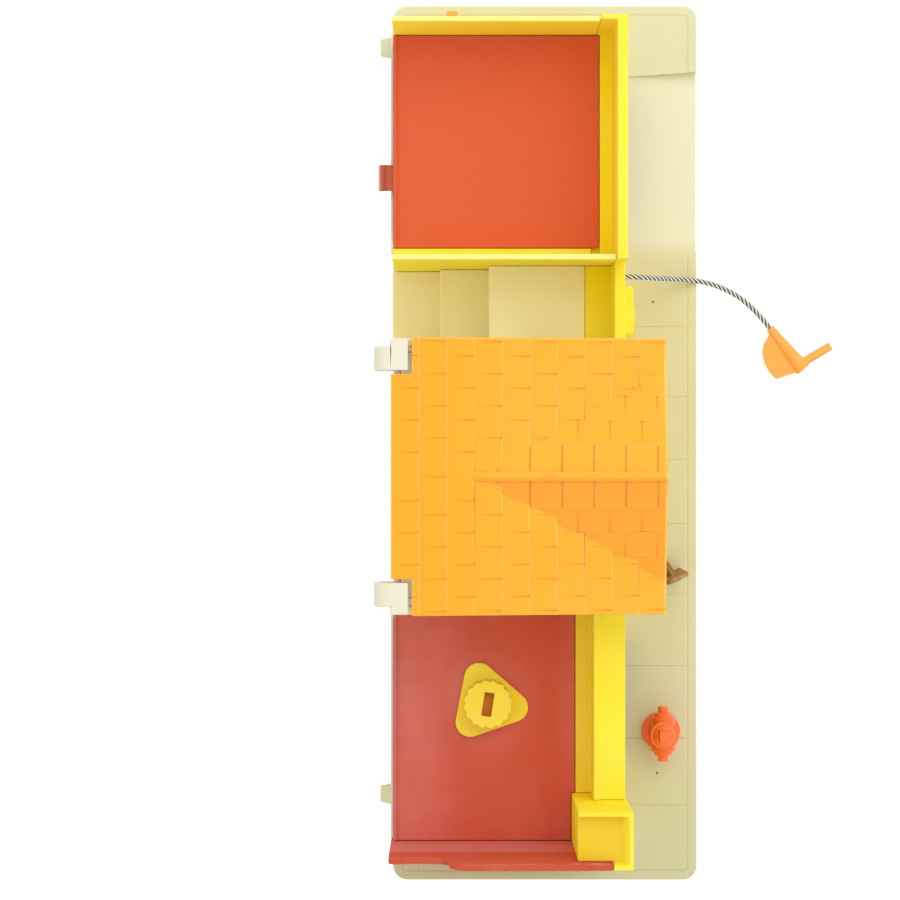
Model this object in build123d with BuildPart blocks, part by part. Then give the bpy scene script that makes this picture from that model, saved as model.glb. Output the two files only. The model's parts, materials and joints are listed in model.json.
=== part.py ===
"""A play street: a garage with a parapet deck, a flight of stairs, a two-storey house under a
hinged shingled roof and a shop with a turning display, on one paved base.
Millimetres, +Z up, +X towards the garage end, -Y towards the street. The origin is the centre
of the base's underside, on the floor."""
from math import atan2, cos, degrees, pi, radians, sin, tan
import os

from build123d import *

os.makedirs("parts", exist_ok=True)

# Fits
fit_gap = 0.2
running_gap = 0.08
loose_gap = 0.5
seat_gap = 0.3
overrun = 3.0

# Base
base_height = 14.0
base_corner_radius = 9.5
base_edge_radius = 1.4
base_skin = 3.0
base_rib = 2.0
base_plate_thickness = 3.0
pocket_columns = 8
pocket_rows = 3
curb_inset = 6.0
groove_width = 1.1
groove_depth = 0.6
pavement_joint_shares = (0.265, 0.105, -0.039, -0.186, -0.346, -0.511, -0.675, -0.829)
end_joint_share = 0.83
apron_edge_height = 7.0
apron_flare = 4.5
apron_margin = 2.0

# Blocks along the street and strips of pavement round them
right_strip = 28.4
left_strip = 33.2
garage_length = 155.1
stair_bay_length = 51.9
house_length = 172.0
shop_length = 159.4
front_strip = 56.3
block_depth = 150.3
back_strip = 1.8

# Levels above the floor
deck_top = 86.0
garage_front_top = 148.0
garage_side_top = 140.0
low_front_top = 120.0
tower_top = 178.0

# Walls
front_wall_thickness = 6.7
end_wall_thickness = 3.2
cross_wall_thickness = 3.6
house_wall_thickness = 4.8
left_end_thickness = 4.5
corner_return = 16.7
ledge_width = 7.9
support_width = 5.3
support_depth = 4.0
wall_edge_radius = 0.8

# Corner tower
tower_width = 36.1
tower_proud = 1.3
tower_depth = 34.4
tower_wall = 2.6
tower_shoulder = 11.0
tower_shoulder_rim = 3.4
tower_dish_depth = 7.0
tower_dish_run = 3.7

# Openings in the front wall
bay_width = 112.0
bay_height = 62.0
opening_corner_radius = 3.0
window_radius_share = 0.4
door_width = 34.0
door_height = 58.0
door_share = 0.27
window_width = 44.0
window_height = 30.0
window_sill = 26.0
window_share = 0.73
shop_opening_width = 76.0
shop_opening_height = 58.0

# Screws
screw_radius = 1.5
screw_head_radius = 3.0
screw_head_height = 1.9
screw_fit = 0.05
boss_radius = 4.0
boss_setback = 3.2
boss_height = 12.0
boss_places_shares = (0.42, 0.82)
front_screw_inset = 9.0

# Places worked out from the sizes above
base_length = left_strip + shop_length + house_length + stair_bay_length + garage_length + right_strip
base_width = front_strip + block_depth + back_strip
half_length = base_length / 2
half_width = base_width / 2
right_end_x = half_length - right_strip
right_inner_x = right_end_x - end_wall_thickness
cross_x = right_end_x - garage_length
cross_inner_x = cross_x + cross_wall_thickness
house_right_x = cross_x - stair_bay_length
house_right_inner_x = house_right_x - house_wall_thickness
house_left_x = house_right_x - house_length
house_left_inner_x = house_left_x + house_wall_thickness
left_end_x = house_left_x - shop_length
left_inner_x = left_end_x + left_end_thickness
front_y = front_strip - half_width
front_inner_y = front_y + front_wall_thickness
back_y = half_width - back_strip


def save(builder, name):
    """Label a finished piece and write it under its own name."""
    builder.part.label = name
    export_step(builder.part, f"parts/{name}.step")


def outline(points, mode=Mode.ADD):
    """Put the shape whose corners are given into the open sketch."""
    Polygon(*points, align=None, mode=mode)


def panel(x_low, x_high, low, high, mode=Mode.ADD):
    """Put a rectangle between its four sides into the open sketch."""
    with Locations(((x_low + x_high) / 2, (low + high) / 2)):
        Rectangle(x_high - x_low, high - low, mode=mode)


def rail(x_low, x_high, points, mode=Mode.ADD):
    """Run a section drawn in Y and Z along X in the open part."""
    with BuildSketch(Plane.YZ.offset(x_low)) as section:
        outline(points)
    extrude(section.sketch, amount=x_high - x_low, mode=mode)


def box_points(low_a, high_a, low_b, high_b):
    """The corners of a rectangle, in order."""
    return [(low_a, low_b), (high_a, low_b), (high_a, high_b), (low_a, high_b)]


# Base tray: a moulded slab, hollow from below, with paving joints and a sloping drive
pocket_length = (base_length - 2 * base_skin - (pocket_columns - 1) * base_rib) / pocket_columns
pocket_depth = (base_width - 2 * base_skin - (pocket_rows - 1) * base_rib) / pocket_rows
pocket_pitch_x = pocket_length + base_rib
pocket_pitch_y = pocket_depth + base_rib
bay_centre_x = right_inner_x - (garage_length - cross_wall_thickness) / 2
apron_half_width = bay_width / 2 + apron_margin
apron_fall = degrees(atan2(base_height - apron_edge_height, front_strip))
rib_x = [(i - (pocket_columns - 2) / 2) * pocket_pitch_x for i in range(pocket_columns - 1)]
rib_y = [(i - (pocket_rows - 2) / 2) * pocket_pitch_y for i in range(pocket_rows - 1)]
base_screw_places = [(x, y) for x in rib_x[::2] for y in rib_y]


def pocket_places():
    """Centres of the pockets, leaving out those that the sloping drive runs over."""
    places = []
    for column in range(pocket_columns):
        for row in range(pocket_rows):
            x = (column - (pocket_columns - 1) / 2) * pocket_pitch_x
            y = (row - (pocket_rows - 1) / 2) * pocket_pitch_y
            reach = pocket_length / 2 + apron_half_width + apron_flare
            under_drive = row == 0 and abs(x - bay_centre_x) < reach
            if not under_drive:
                places.append((x, y))
    return places


# Screws that hold the walls from below, each wall by its own pair
side_screw_y = [front_inner_y + share * (back_y - front_inner_y) for share in boss_places_shares]
front_screw_y = (front_y + front_inner_y) / 2
front_screw_x = [left_end_x + tower_width + front_screw_inset, house_left_x + front_screw_inset,
                 house_right_x - front_screw_inset, right_end_x - front_screw_inset]
boss_x = {
    "right_end": right_inner_x - boss_setback,
    "cross": cross_inner_x + boss_setback,
    "house_right": house_right_inner_x - boss_setback,
    "house_left": house_left_inner_x + boss_setback,
    "left_end": left_inner_x + boss_setback,
}
wall_screw_places = [(x, y) for x in boss_x.values() for y in side_screw_y]
wall_screw_places += [(x, front_screw_y) for x in front_screw_x]
skin_underside = base_height - base_skin
pilot_top = base_height + boss_height - base_rib

# Pieces that stand in holes of the paving
peg_radius = 3.0
peg_depth = 2.4
hydrant_side_inset = 69.3
hydrant_front_inset = 24.8
display_side_share = 0.3977
display_depth_share = 0.569
hydrant_x = left_end_x + hydrant_side_inset
hydrant_y = hydrant_front_inset - half_width
display_x = house_left_x - display_side_share * shop_length
display_y = front_inner_y + display_depth_share * (back_y - front_inner_y)

# Rear doors and their pins
door_thickness = 1.8
door_barrel_radius = 2.6
door_pin_radius = 1.1
door_pin_offset = 5.4
door_pin_inset = 2.0
right_pin_x = cross_inner_x + door_pin_offset
left_pin_x = house_left_x - door_pin_offset
door_pin_y = back_y - door_pin_inset

with BuildPart() as base_tray:
    with BuildSketch():
        RectangleRounded(base_length, base_width, base_corner_radius)
    extrude(amount=base_height)
    fillet(base_tray.edges().group_by(Axis.Z)[-1], base_edge_radius)
    with BuildSketch():
        RectangleRounded(base_length - 2 * base_skin, base_width - 2 * base_skin,
                         base_corner_radius - base_skin)
    extrude(amount=base_plate_thickness, mode=Mode.SUBTRACT)
    with BuildSketch(Plane.XY.offset(base_plate_thickness)):
        with Locations(*pocket_places()):
            Rectangle(pocket_length, pocket_depth)
        with Locations(*base_screw_places):
            Circle(boss_radius, mode=Mode.SUBTRACT)
    extrude(amount=skin_underside - base_plate_thickness, mode=Mode.SUBTRACT)
    # Drive sloping to the street, wider at its foot
    fall = radians(apron_fall)
    drive = Plane((bay_centre_x, front_y, base_height), x_dir=(1, 0, 0), z_dir=(0, -sin(fall), cos(fall)))
    drive_length = front_strip / cos(fall) + overrun
    with BuildSketch(drive):
        outline([(-apron_half_width, 0), (apron_half_width, 0),
                 (apron_half_width + apron_flare, -drive_length),
                 (-apron_half_width - apron_flare, -drive_length)])
    extrude(amount=base_height, mode=Mode.SUBTRACT)
    # Curb line and paving joints
    with BuildSketch(Plane.XY.offset(base_height - groove_depth)):
        curb_length = base_length - 2 * curb_inset
        curb_width = base_width - 2 * curb_inset
        RectangleRounded(curb_length, curb_width, base_corner_radius - curb_inset)
        RectangleRounded(curb_length - 2 * groove_width, curb_width - 2 * groove_width,
                         base_corner_radius - curb_inset - groove_width, mode=Mode.SUBTRACT)
        for share in pavement_joint_shares:
            joint_x = share * half_length
            panel(joint_x - groove_width / 2, joint_x + groove_width / 2, curb_inset - half_width, front_y)
        joint_y = end_joint_share * half_width
        panel(curb_inset - half_length, left_end_x, joint_y - groove_width / 2, joint_y + groove_width / 2)
    extrude(amount=groove_depth + overrun, mode=Mode.SUBTRACT)
    # Holes: base screws from below, wall screws through the skin, pegs and pins from above
    with BuildSketch(Plane.XY.offset(base_plate_thickness)):
        with Locations(*base_screw_places):
            Circle(screw_radius + screw_fit)
    extrude(amount=skin_underside - base_plate_thickness, mode=Mode.SUBTRACT)
    with BuildSketch(Plane.XY.offset(base_plate_thickness)):
        with Locations(*wall_screw_places):
            Circle(screw_head_radius + fit_gap)
    extrude(amount=skin_underside - base_plate_thickness, mode=Mode.SUBTRACT)
    with BuildSketch(Plane.XY.offset(base_plate_thickness)):
        with Locations(*wall_screw_places):
            Circle(screw_radius + screw_fit)
    extrude(amount=base_height, mode=Mode.SUBTRACT)
    with BuildSketch(Plane.XY.offset(base_height - peg_depth - fit_gap)):
        with Locations((hydrant_x, hydrant_y), (display_x, display_y)):
            Circle(peg_radius + running_gap)
        with Locations((right_pin_x, door_pin_y), (left_pin_x, door_pin_y)):
            Circle(door_pin_radius + screw_fit)
    extrude(amount=base_height, mode=Mode.SUBTRACT)
save(base_tray, "base_tray")

with BuildPart() as base_plate:
    plate_margin = 2 * (base_skin + fit_gap)
    with BuildSketch():
        RectangleRounded(base_length - plate_margin, base_width - plate_margin,
                         base_corner_radius - base_skin - fit_gap)
    extrude(amount=base_plate_thickness)
    with BuildSketch():
        with Locations(*base_screw_places):
            Circle(screw_radius + screw_fit)
    extrude(amount=base_plate_thickness, mode=Mode.SUBTRACT)
    with Locations(*[(x, y, screw_head_height / 2) for x, y in base_screw_places]):
        Cone(screw_head_radius + screw_fit, screw_radius + screw_fit, screw_head_height,
             mode=Mode.SUBTRACT)
save(base_plate, "base_plate")

with BuildPart() as base_screws:
    with Locations(*[(x, y, screw_head_height / 2) for x, y in base_screw_places]):
        Cone(screw_head_radius, screw_radius, screw_head_height)
    with BuildSketch(Plane.XY.offset(screw_head_height)):
        with Locations(*base_screw_places):
            Circle(screw_radius)
    extrude(amount=skin_underside - screw_head_height - fit_gap)
save(base_screws, "base_screws")

with BuildPart() as wall_screws:
    with BuildSketch(Plane.XY.offset(skin_underside - screw_head_height)):
        with Locations(*wall_screw_places):
            Circle(screw_head_radius)
    extrude(amount=screw_head_height)
    with BuildSketch(Plane.XY.offset(skin_underside)):
        with Locations(*wall_screw_places):
            Circle(screw_radius)
    extrude(amount=pilot_top - skin_underside - fit_gap)
save(wall_screws, "wall_screws")


def wall_bosses(name):
    """Add a wall's two screw bosses, with their pilot holes, to the open part."""
    places = [(boss_x[name], y) for y in side_screw_y]
    with BuildSketch(Plane.XY.offset(base_height)) as bosses:
        with Locations(*places):
            Circle(boss_radius)
    extrude(bosses.sketch, amount=boss_height)
    with BuildSketch(Plane.XY.offset(base_height)) as pilots:
        with Locations(*places):
            Circle(screw_radius + screw_fit)
    extrude(pilots.sketch, amount=pilot_top - base_height, mode=Mode.SUBTRACT)


def sill(y_low, y_high, points, mode=Mode.ADD):
    """Run a section drawn in X and Z along Y in the open part."""
    with BuildSketch(Plane.XZ.offset(-y_high)) as section:
        outline(points)
    extrude(section.sketch, amount=y_high - y_low, mode=mode)


def doorway(x, width, height):
    """Cut an opening with rounded top corners, down to the paving, from the open sketch."""
    drop = opening_corner_radius + overrun
    with Locations((x, base_height + (height - drop) / 2)):
        RectangleRounded(width, height + drop, opening_corner_radius, mode=Mode.SUBTRACT)


def window(x, sill_height, width, height, mode=Mode.SUBTRACT):
    """Cut a window whose sill is at the given height from the open sketch."""
    radius = min(opening_corner_radius, window_radius_share * min(width, height))
    with Locations((x, sill_height + height / 2)):
        RectangleRounded(width, height, radius, mode=mode)


def round_hole(plane, x, y, radius, depth):
    """Cut a round hole into the open part, from a plane along its normal."""
    with BuildSketch(plane) as mouth:
        with Locations((x, y)):
            Circle(radius)
    extrude(mouth.sketch, amount=depth, mode=Mode.SUBTRACT)


# Roof: one slope falling to the street, crossed by a dormer whose ridge is level
roof_back_height = 182.0
roof_rise = 23.0
dormer_rise = 16.0
dormer_half_width = 65.8
roof_skin = 3.2
roof_front_overhang = 23.1
roof_back_inset = 0.4
roof_side_overhang = 0.7
fascia_depth = 7.0
fascia_thickness = 3.0
roof_front_height = roof_back_height - roof_rise
ridge_height = roof_front_height + dormer_rise
roof_front_y = front_y - roof_front_overhang
roof_back_y = back_y - roof_back_inset
roof_right_x = house_right_x + roof_side_overhang
roof_left_x = house_left_x - roof_side_overhang
ridge_x = (house_left_x + house_right_x) / 2
main_slope = roof_rise / (roof_back_y - roof_front_y)
dormer_slope = dormer_rise / dormer_half_width
valley_y = roof_front_y + dormer_rise / main_slope


def slope_height(y):
    """Height of the main slope's plain surface."""
    return roof_front_height + (y - roof_front_y) * main_slope


def roof_space(drop):
    """The space under the roof's two plain surfaces, both lowered by drop."""
    near, far = roof_front_y - overrun, roof_back_y + overrun
    spread = house_length
    with BuildPart() as space:
        rail(ridge_x - spread, ridge_x + spread,
             [(near, 0), (far, 0), (far, slope_height(far) - drop), (near, slope_height(near) - drop)])
        apex = ridge_height - drop
        foot = apex - spread * dormer_slope
        sill(near, valley_y, [(ridge_x - spread, 0), (ridge_x + spread, 0), (ridge_x + spread, foot),
                              (ridge_x, apex), (ridge_x - spread, foot)])
    return space.part


# Roof hinge: a rod through two knuckles on the house walls and the barrel under the roof
hinge_drop = 7.0
hinge_inset = 4.5
hinge_rod_radius = 1.6
hinge_barrel_radius = 4.4
hinge_height = roof_back_height - hinge_drop
hinge_y = roof_back_y - hinge_inset
knuckle_radius = 10.5
knuckle_width = 15.2
knuckle_setback = 4.7
knuckle_drop = 5.0
knuckle_front = 6.2
knuckle_y = hinge_y + knuckle_setback
knuckle_z = hinge_height - knuckle_drop
knuckle_top = knuckle_z + knuckle_radius
ear_foot = knuckle_z - knuckle_radius
notch_width = 23.0
notch_depth = 13.2

# Deck ledges
deck_thickness = 4.0
deck_under = deck_top - deck_thickness
ledge_under = deck_under - support_depth
cross_ledge_width = 7.6
shelf_depth = 17.6
shelf_thickness = 3.0
stairs_front_y = front_inner_y + shelf_depth
deck_side_start = front_inner_y + ledge_width + support_width + fit_gap


def ledge_points(root, way, width):
    """Section of a ledge: its top is level with the deck, which lies on the strip beside it."""
    edge = root + way * width
    reach = edge + way * support_width
    return [(root, ledge_under), (reach, ledge_under), (reach, deck_under), (edge, deck_under),
            (edge, deck_top), (root, deck_top)]


# Corner tower
tower_right_x = left_end_x + tower_width
tower_front_y = front_y - tower_proud
tower_back_y = tower_front_y + tower_depth

# Front wall
door_x = house_left_inner_x + door_share * (house_right_inner_x - house_left_inner_x)
window_x = house_left_inner_x + window_share * (house_right_inner_x - house_left_inner_x)
shop_cap_depth = 10.4
shop_cap_thickness = 4.0
shop_rim_width = 3.4
shop_rim_height = 2.8
shop_ledge_width = 10.0
rim_inner_y = front_inner_y + shop_cap_depth
rim_outer_y = rim_inner_y + shop_rim_width
shop_ledge_y = rim_outer_y + shop_ledge_width
rope_side_inset = 4.8
rope_x = cross_x - rope_side_inset
rope_hole_height = 50.0
grommet_radius = 3.0

with BuildPart() as front_wall:
    wall_left_x = tower_right_x + fit_gap
    with BuildSketch(Plane.XZ.offset(-front_inner_y)):
        outline([(wall_left_x, base_height), (right_end_x, base_height), (right_end_x, garage_front_top),
                 (cross_x, garage_front_top), (cross_x, low_front_top), (wall_left_x, low_front_top)])
        doorway(bay_centre_x, bay_width, bay_height)
        doorway(door_x, door_width, door_height)
        doorway(display_x, shop_opening_width, shop_opening_height)
        window(window_x, base_height + window_sill, window_width, window_height)
        with Locations((rope_x, rope_hole_height)):
            Circle(grommet_radius + screw_fit, mode=Mode.SUBTRACT)
    extrude(amount=front_wall_thickness)
    # Corner return, deck ledge of the garage, shelf at the head of the stairs
    rail(right_inner_x, right_end_x,
         box_points(front_inner_y, front_y + corner_return, base_height, garage_front_top))
    rail(cross_inner_x + fit_gap, right_inner_x, ledge_points(front_inner_y, 1, ledge_width))
    rail(house_right_x + fit_gap, cross_x - fit_gap,
         box_points(front_inner_y, stairs_front_y - fit_gap, deck_top - shelf_thickness, deck_top))
    # Strip under the upper floor, then the folded top and ledge of the shop
    rail(house_left_inner_x + fit_gap, house_right_inner_x - fit_gap,
         box_points(front_inner_y, front_inner_y + support_width, ledge_under, deck_under))
    rail(wall_left_x, house_left_x - fit_gap,
         [(front_inner_y, low_front_top), (rim_inner_y, low_front_top),
          (rim_inner_y, low_front_top + shop_rim_height), (rim_outer_y, low_front_top + shop_rim_height),
          (rim_outer_y, deck_top), (shop_ledge_y, deck_top), (shop_ledge_y, deck_under),
          (shop_ledge_y + support_width, deck_under), (shop_ledge_y + support_width, ledge_under),
          (rim_inner_y, ledge_under), (rim_inner_y, low_front_top - shop_cap_thickness),
          (front_inner_y, low_front_top - shop_cap_thickness)])
    for screw_x in front_screw_x:
        round_hole(Plane.XY.offset(base_height), screw_x, front_screw_y, screw_radius + screw_fit,
                   pilot_top - base_height)
save(front_wall, "front_wall")

# Knob on the end wall and the end and cross walls of the garage
wall_knob_back_inset = 38.6
wall_knob_height = 70.0
wall_knob_shaft_radius = 2.2
wall_knob_y = back_y - wall_knob_back_inset

with BuildPart() as right_end_wall:
    rail(right_inner_x, right_end_x,
         box_points(front_y + corner_return + fit_gap, back_y, base_height, garage_side_top))
    sill(deck_side_start, back_y,
         box_points(right_inner_x - support_width, right_inner_x, ledge_under, deck_under))
    wall_bosses("right_end")
    round_hole(Plane.YZ.offset(right_inner_x - overrun), wall_knob_y, wall_knob_height,
               wall_knob_shaft_radius + running_gap, end_wall_thickness + 2 * overrun)
save(right_end_wall, "right_end_wall")

with BuildPart() as right_cross_wall:
    rail(cross_x, cross_inner_x, box_points(front_inner_y + fit_gap, back_y, base_height, garage_side_top))
    sill(deck_side_start, back_y, ledge_points(cross_inner_x, 1, cross_ledge_width))
    wall_bosses("cross")
    round_hole(Plane.XY.offset(ledge_under), right_pin_x, door_pin_y, door_pin_radius + screw_fit,
               support_depth)
save(right_cross_wall, "right_cross_wall")

# House: two side walls that carry the roof's knuckles, an upper floor and a gable front
stair_door_width = 28.0
stair_door_height_share = 0.685
stair_door_share = 0.3
gable_window_width = 26.0
gable_window_height_share = 0.564
gable_window_sill_share = 0.154
gable_window_pitch = 74.0
gable_rise = roof_front_height - low_front_top
under_roof = roof_space(roof_skin + seat_gap)


def knuckle(x_low, x_high):
    """Add a round-backed hinge block, square at its front top, to the open part."""
    with BuildSketch(Plane.YZ.offset(x_low)) as side:
        with Locations((knuckle_y, knuckle_z)):
            Circle(knuckle_radius)
        panel(hinge_y - knuckle_front, knuckle_y, knuckle_z, knuckle_top)
    extrude(side.sketch, amount=x_high - x_low)


def hinge_bore(x_low, x_high, radius):
    """Cut the bore for the hinge rod from the open part."""
    round_hole(Plane.YZ.offset(x_low), hinge_y, hinge_height, radius, x_high - x_low)


with BuildPart() as house_right_wall:
    rail(house_right_inner_x, house_right_x,
         box_points(front_inner_y + fit_gap, back_y, base_height, roof_back_height))
    add(under_roof, mode=Mode.INTERSECT)
    rail(house_right_inner_x, house_right_x,
         box_points(hinge_y - knuckle_front, back_y, ear_foot, knuckle_top))
    knuckle(house_right_inner_x - knuckle_width, house_right_inner_x)
    hinge_bore(house_right_inner_x - knuckle_width, house_right_inner_x, hinge_rod_radius + screw_fit)
    sill(front_inner_y + support_width + fit_gap, back_y,
         box_points(house_right_inner_x - support_width, house_right_inner_x, ledge_under, deck_under))
    stair_door_y = front_inner_y + stair_door_share * (back_y - front_inner_y)
    stair_door_height = stair_door_height_share * (roof_front_height - deck_top)
    rail(house_right_inner_x, house_right_x,
         box_points(stair_door_y - stair_door_width / 2, stair_door_y + stair_door_width / 2,
                    deck_top, deck_top + stair_door_height), mode=Mode.SUBTRACT)
    wall_bosses("house_right")
save(house_right_wall, "house_right_wall")

with BuildPart() as house_left_wall:
    rail(house_left_x, house_left_inner_x,
         box_points(front_inner_y + fit_gap, back_y, base_height, roof_back_height))
    add(under_roof, mode=Mode.INTERSECT)
    rail(house_left_x, house_left_inner_x, box_points(hinge_y - knuckle_front, back_y, ear_foot, knuckle_top))
    knuckle(house_left_inner_x, house_left_inner_x + knuckle_width)
    hinge_bore(house_left_inner_x, house_left_inner_x + knuckle_width, hinge_rod_radius + screw_fit)
    sill(front_inner_y + support_width + fit_gap, back_y,
         box_points(house_left_inner_x, house_left_inner_x + support_width, ledge_under, deck_under))
    # Strip outside for the shop's deck, which also holds the top of the rear door's pin
    sill(shop_ledge_y + support_width + fit_gap, back_y,
         box_points(house_left_x - cross_ledge_width, house_left_x, ledge_under, deck_under))
    wall_bosses("house_left")
    round_hole(Plane.XY.offset(ledge_under), left_pin_x, door_pin_y, door_pin_radius + screw_fit,
               support_depth - running_gap)
save(house_left_wall, "house_left_wall")

with BuildPart() as gable_wall:
    with BuildSketch(Plane.XZ.offset(-front_inner_y)):
        panel(house_left_x, house_right_x, low_front_top, roof_back_height)
        for side in (-1, 1):
            window(ridge_x + side * gable_window_pitch / 2,
                   low_front_top + gable_window_sill_share * gable_rise,
                   gable_window_width, gable_window_height_share * gable_rise)
    extrude(amount=front_wall_thickness)
    add(under_roof, mode=Mode.INTERSECT)
save(gable_wall, "gable_wall")

with BuildPart() as upper_floor:
    with BuildSketch(Plane.XY.offset(deck_under)):
        panel(house_left_inner_x + fit_gap, house_right_inner_x - fit_gap, front_inner_y + fit_gap, back_y)
    extrude(amount=deck_thickness)
save(upper_floor, "upper_floor")

# Stairs: a hollow moulding of two treads and a landing
first_tread_height = 32.0
second_tread_height = 51.0
tread_depth = 32.4
stairs_skin = 2.6
stairs_left_x = house_right_x + fit_gap
stairs_right_x = cross_x - fit_gap
first_riser_y = half_width - tread_depth
second_riser_y = first_riser_y - tread_depth


def stair_section(shrink):
    """Corners of the stairs' side, every face drawn in by shrink."""
    return [(stairs_front_y + shrink, base_height), (half_width - shrink, base_height),
            (half_width - shrink, first_tread_height - shrink),
            (first_riser_y - shrink, first_tread_height - shrink),
            (first_riser_y - shrink, second_tread_height - shrink),
            (second_riser_y - shrink, second_tread_height - shrink),
            (second_riser_y - shrink, deck_top - shrink), (stairs_front_y + shrink, deck_top - shrink)]


with BuildPart() as stairs:
    rail(stairs_left_x, stairs_right_x, stair_section(0))
    rail(stairs_left_x + stairs_skin, stairs_right_x - stairs_skin, stair_section(stairs_skin),
         mode=Mode.SUBTRACT)
save(stairs, "stairs")

# Shingles: saw-toothed courses whose lower edges stand proud, cut across by joints
shingle_courses = 10
dormer_rows = 4
shingle_step = 0.8
shingle_width = 20.0
shingle_middle_starts = (24.0, 15.0)
dormer_first_joints = (6.2, 16.1)
first_row_width = 19.0
joint_width = 0.9
joint_depth = 0.5
joint_run_share = 0.86
ridge_band_width = 6.0
ridge_band_height = 1.3
course_depth = (roof_back_y - roof_front_y) / shingle_courses
row_width = (dormer_half_width - first_row_width) / (dormer_rows - 1)
course_y = [roof_front_y + i * course_depth for i in range(shingle_courses + 1)]
row_reach = [0] + [first_row_width + i * row_width for i in range(dormer_rows)]


def joint_places(first, end):
    """Places of the joints along a row of shingles, from the first one on."""
    return [first + i * shingle_width for i in range(int((end - first) / shingle_width) + 1)]


def joint_section(near, far, z_near, z_far):
    """Section of a joint, deepest at the row's lower edge, that fades out before the upper one."""
    end = near + joint_run_share * (far - near)
    z_end = z_near + joint_run_share * (z_far - z_near)
    return [(near, z_near - joint_depth), (end, z_end), (end, z_end + overrun), (near, z_end + overrun)]


def course_joints(row):
    """Cut the joints of one course of the main slope from the open part."""
    near, far = course_y[row], course_y[row + 1]
    hidden = (ridge_height - slope_height(far)) / dormer_slope
    reaches = joint_places(shingle_middle_starts[row % 2], roof_right_x - ridge_x)
    places = [ridge_x + side * reach for reach in reaches for side in (-1, 1) if reach > hidden]
    if row % 2 == 0 and near > valley_y:
        places.append(ridge_x)
    with BuildSketch(*[Plane.YZ.offset(x - joint_width / 2) for x in places]) as slots:
        outline(joint_section(near, far, slope_height(near) + shingle_step, slope_height(far)))
    extrude(slots.sketch, amount=joint_width, mode=Mode.SUBTRACT)


with BuildPart() as main_roof:
    tooth_points = []
    for near, far in zip(course_y, course_y[1:]):
        tooth_points += [(near, slope_height(near) + shingle_step), (far, slope_height(far))]
    rail(roof_left_x, roof_right_x, [(roof_back_y, deck_top), (roof_front_y, deck_top)] + tooth_points)
    for course in range(shingle_courses):
        course_joints(course)


def dormer_joints(row, side):
    """Cut the joints of one row of the dormer, on one side of its ridge, from the open part."""
    near, far = row_reach[row], row_reach[row + 1]
    section = joint_section(far, near, ridge_height - far * dormer_slope + shingle_step,
                            ridge_height - near * dormer_slope)
    end = valley_y - (valley_y - roof_front_y) * near / dormer_half_width
    places = joint_places(roof_front_y + dormer_first_joints[row % 2], end)
    with BuildSketch(*[Plane.XZ.offset(-y - joint_width / 2) for y in places]) as slots:
        outline([(ridge_x + side * reach, z) for reach, z in section])
    extrude(slots.sketch, amount=joint_width, mode=Mode.SUBTRACT)


with BuildPart() as dormer:
    side_points = []
    for near, far in zip(row_reach, row_reach[1:]):
        side_points += [(near, ridge_height - near * dormer_slope),
                        (far, ridge_height - far * dormer_slope + shingle_step)]
    side_points += [(dormer_half_width, roof_front_height - roof_skin), (dormer_half_width, deck_top)]
    right_side = [(ridge_x + reach, z) for reach, z in side_points]
    left_side = [(ridge_x - reach, z) for reach, z in reversed(side_points[1:])]
    sill(roof_front_y, valley_y, right_side + left_side)
    for row in range(dormer_rows):
        dormer_joints(row, 1)
        dormer_joints(row, -1)

with BuildPart() as fascia:
    rail(roof_left_x, roof_right_x,
         box_points(roof_front_y, roof_front_y + fascia_thickness, deck_top, roof_back_height))
    add(roof_space(roof_skin / 2), mode=Mode.INTERSECT)
    add(roof_space(fascia_depth), mode=Mode.SUBTRACT)

with BuildPart() as roof:
    add(main_roof.part)
    add(dormer.part)
    add(roof_space(roof_skin), mode=Mode.SUBTRACT)
    add(fascia.part)
    # Ridge band, which ends where the main slope has risen over it
    band_back_y = valley_y + ridge_band_height / main_slope
    with BuildSketch(Plane.XZ.offset(-band_back_y)):
        with Locations((ridge_x, ridge_height)):
            Ellipse(ridge_band_width / 2, ridge_band_height)
    extrude(amount=band_back_y - roof_front_y)
    barrel_left_x, barrel_right_x = roof_left_x + notch_width, roof_right_x - notch_width
    with BuildSketch(Plane.YZ.offset(barrel_left_x)):
        with Locations((hinge_y, hinge_height)):
            Circle(hinge_barrel_radius)
    extrude(amount=barrel_right_x - barrel_left_x)
    with BuildSketch(Plane.XY.offset(deck_top)):
        panel(roof_left_x - overrun, barrel_left_x, roof_back_y - notch_depth, roof_back_y + overrun)
        panel(barrel_right_x, roof_right_x + overrun, roof_back_y - notch_depth, roof_back_y + overrun)
    extrude(amount=roof_back_height, mode=Mode.SUBTRACT)
    hinge_bore(barrel_left_x, barrel_right_x, hinge_rod_radius + running_gap)
save(roof, "roof")

with BuildPart() as roof_hinge_rod:
    with BuildSketch(Plane.YZ.offset(house_left_inner_x + fit_gap)):
        with Locations((hinge_y, hinge_height)):
            Circle(hinge_rod_radius)
    extrude(amount=house_right_inner_x - house_left_inner_x - 2 * fit_gap)
save(roof_hinge_rod, "roof_hinge_rod")

# Decks: the garage's lifts out by the tongue at its back, the shop's carries the display
lip_width = 2.0
lip_height = 2.0
tongue_width = 17.0
tongue_length = 10.0
tongue_thickness = 3.0
tongue_bead_radius = 1.8
tongue_share = 0.33
display_shaft_radius = 7.0
right_deck_left_x = cross_inner_x + cross_ledge_width + loose_gap
right_deck_right_x = right_inner_x - loose_gap

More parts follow.
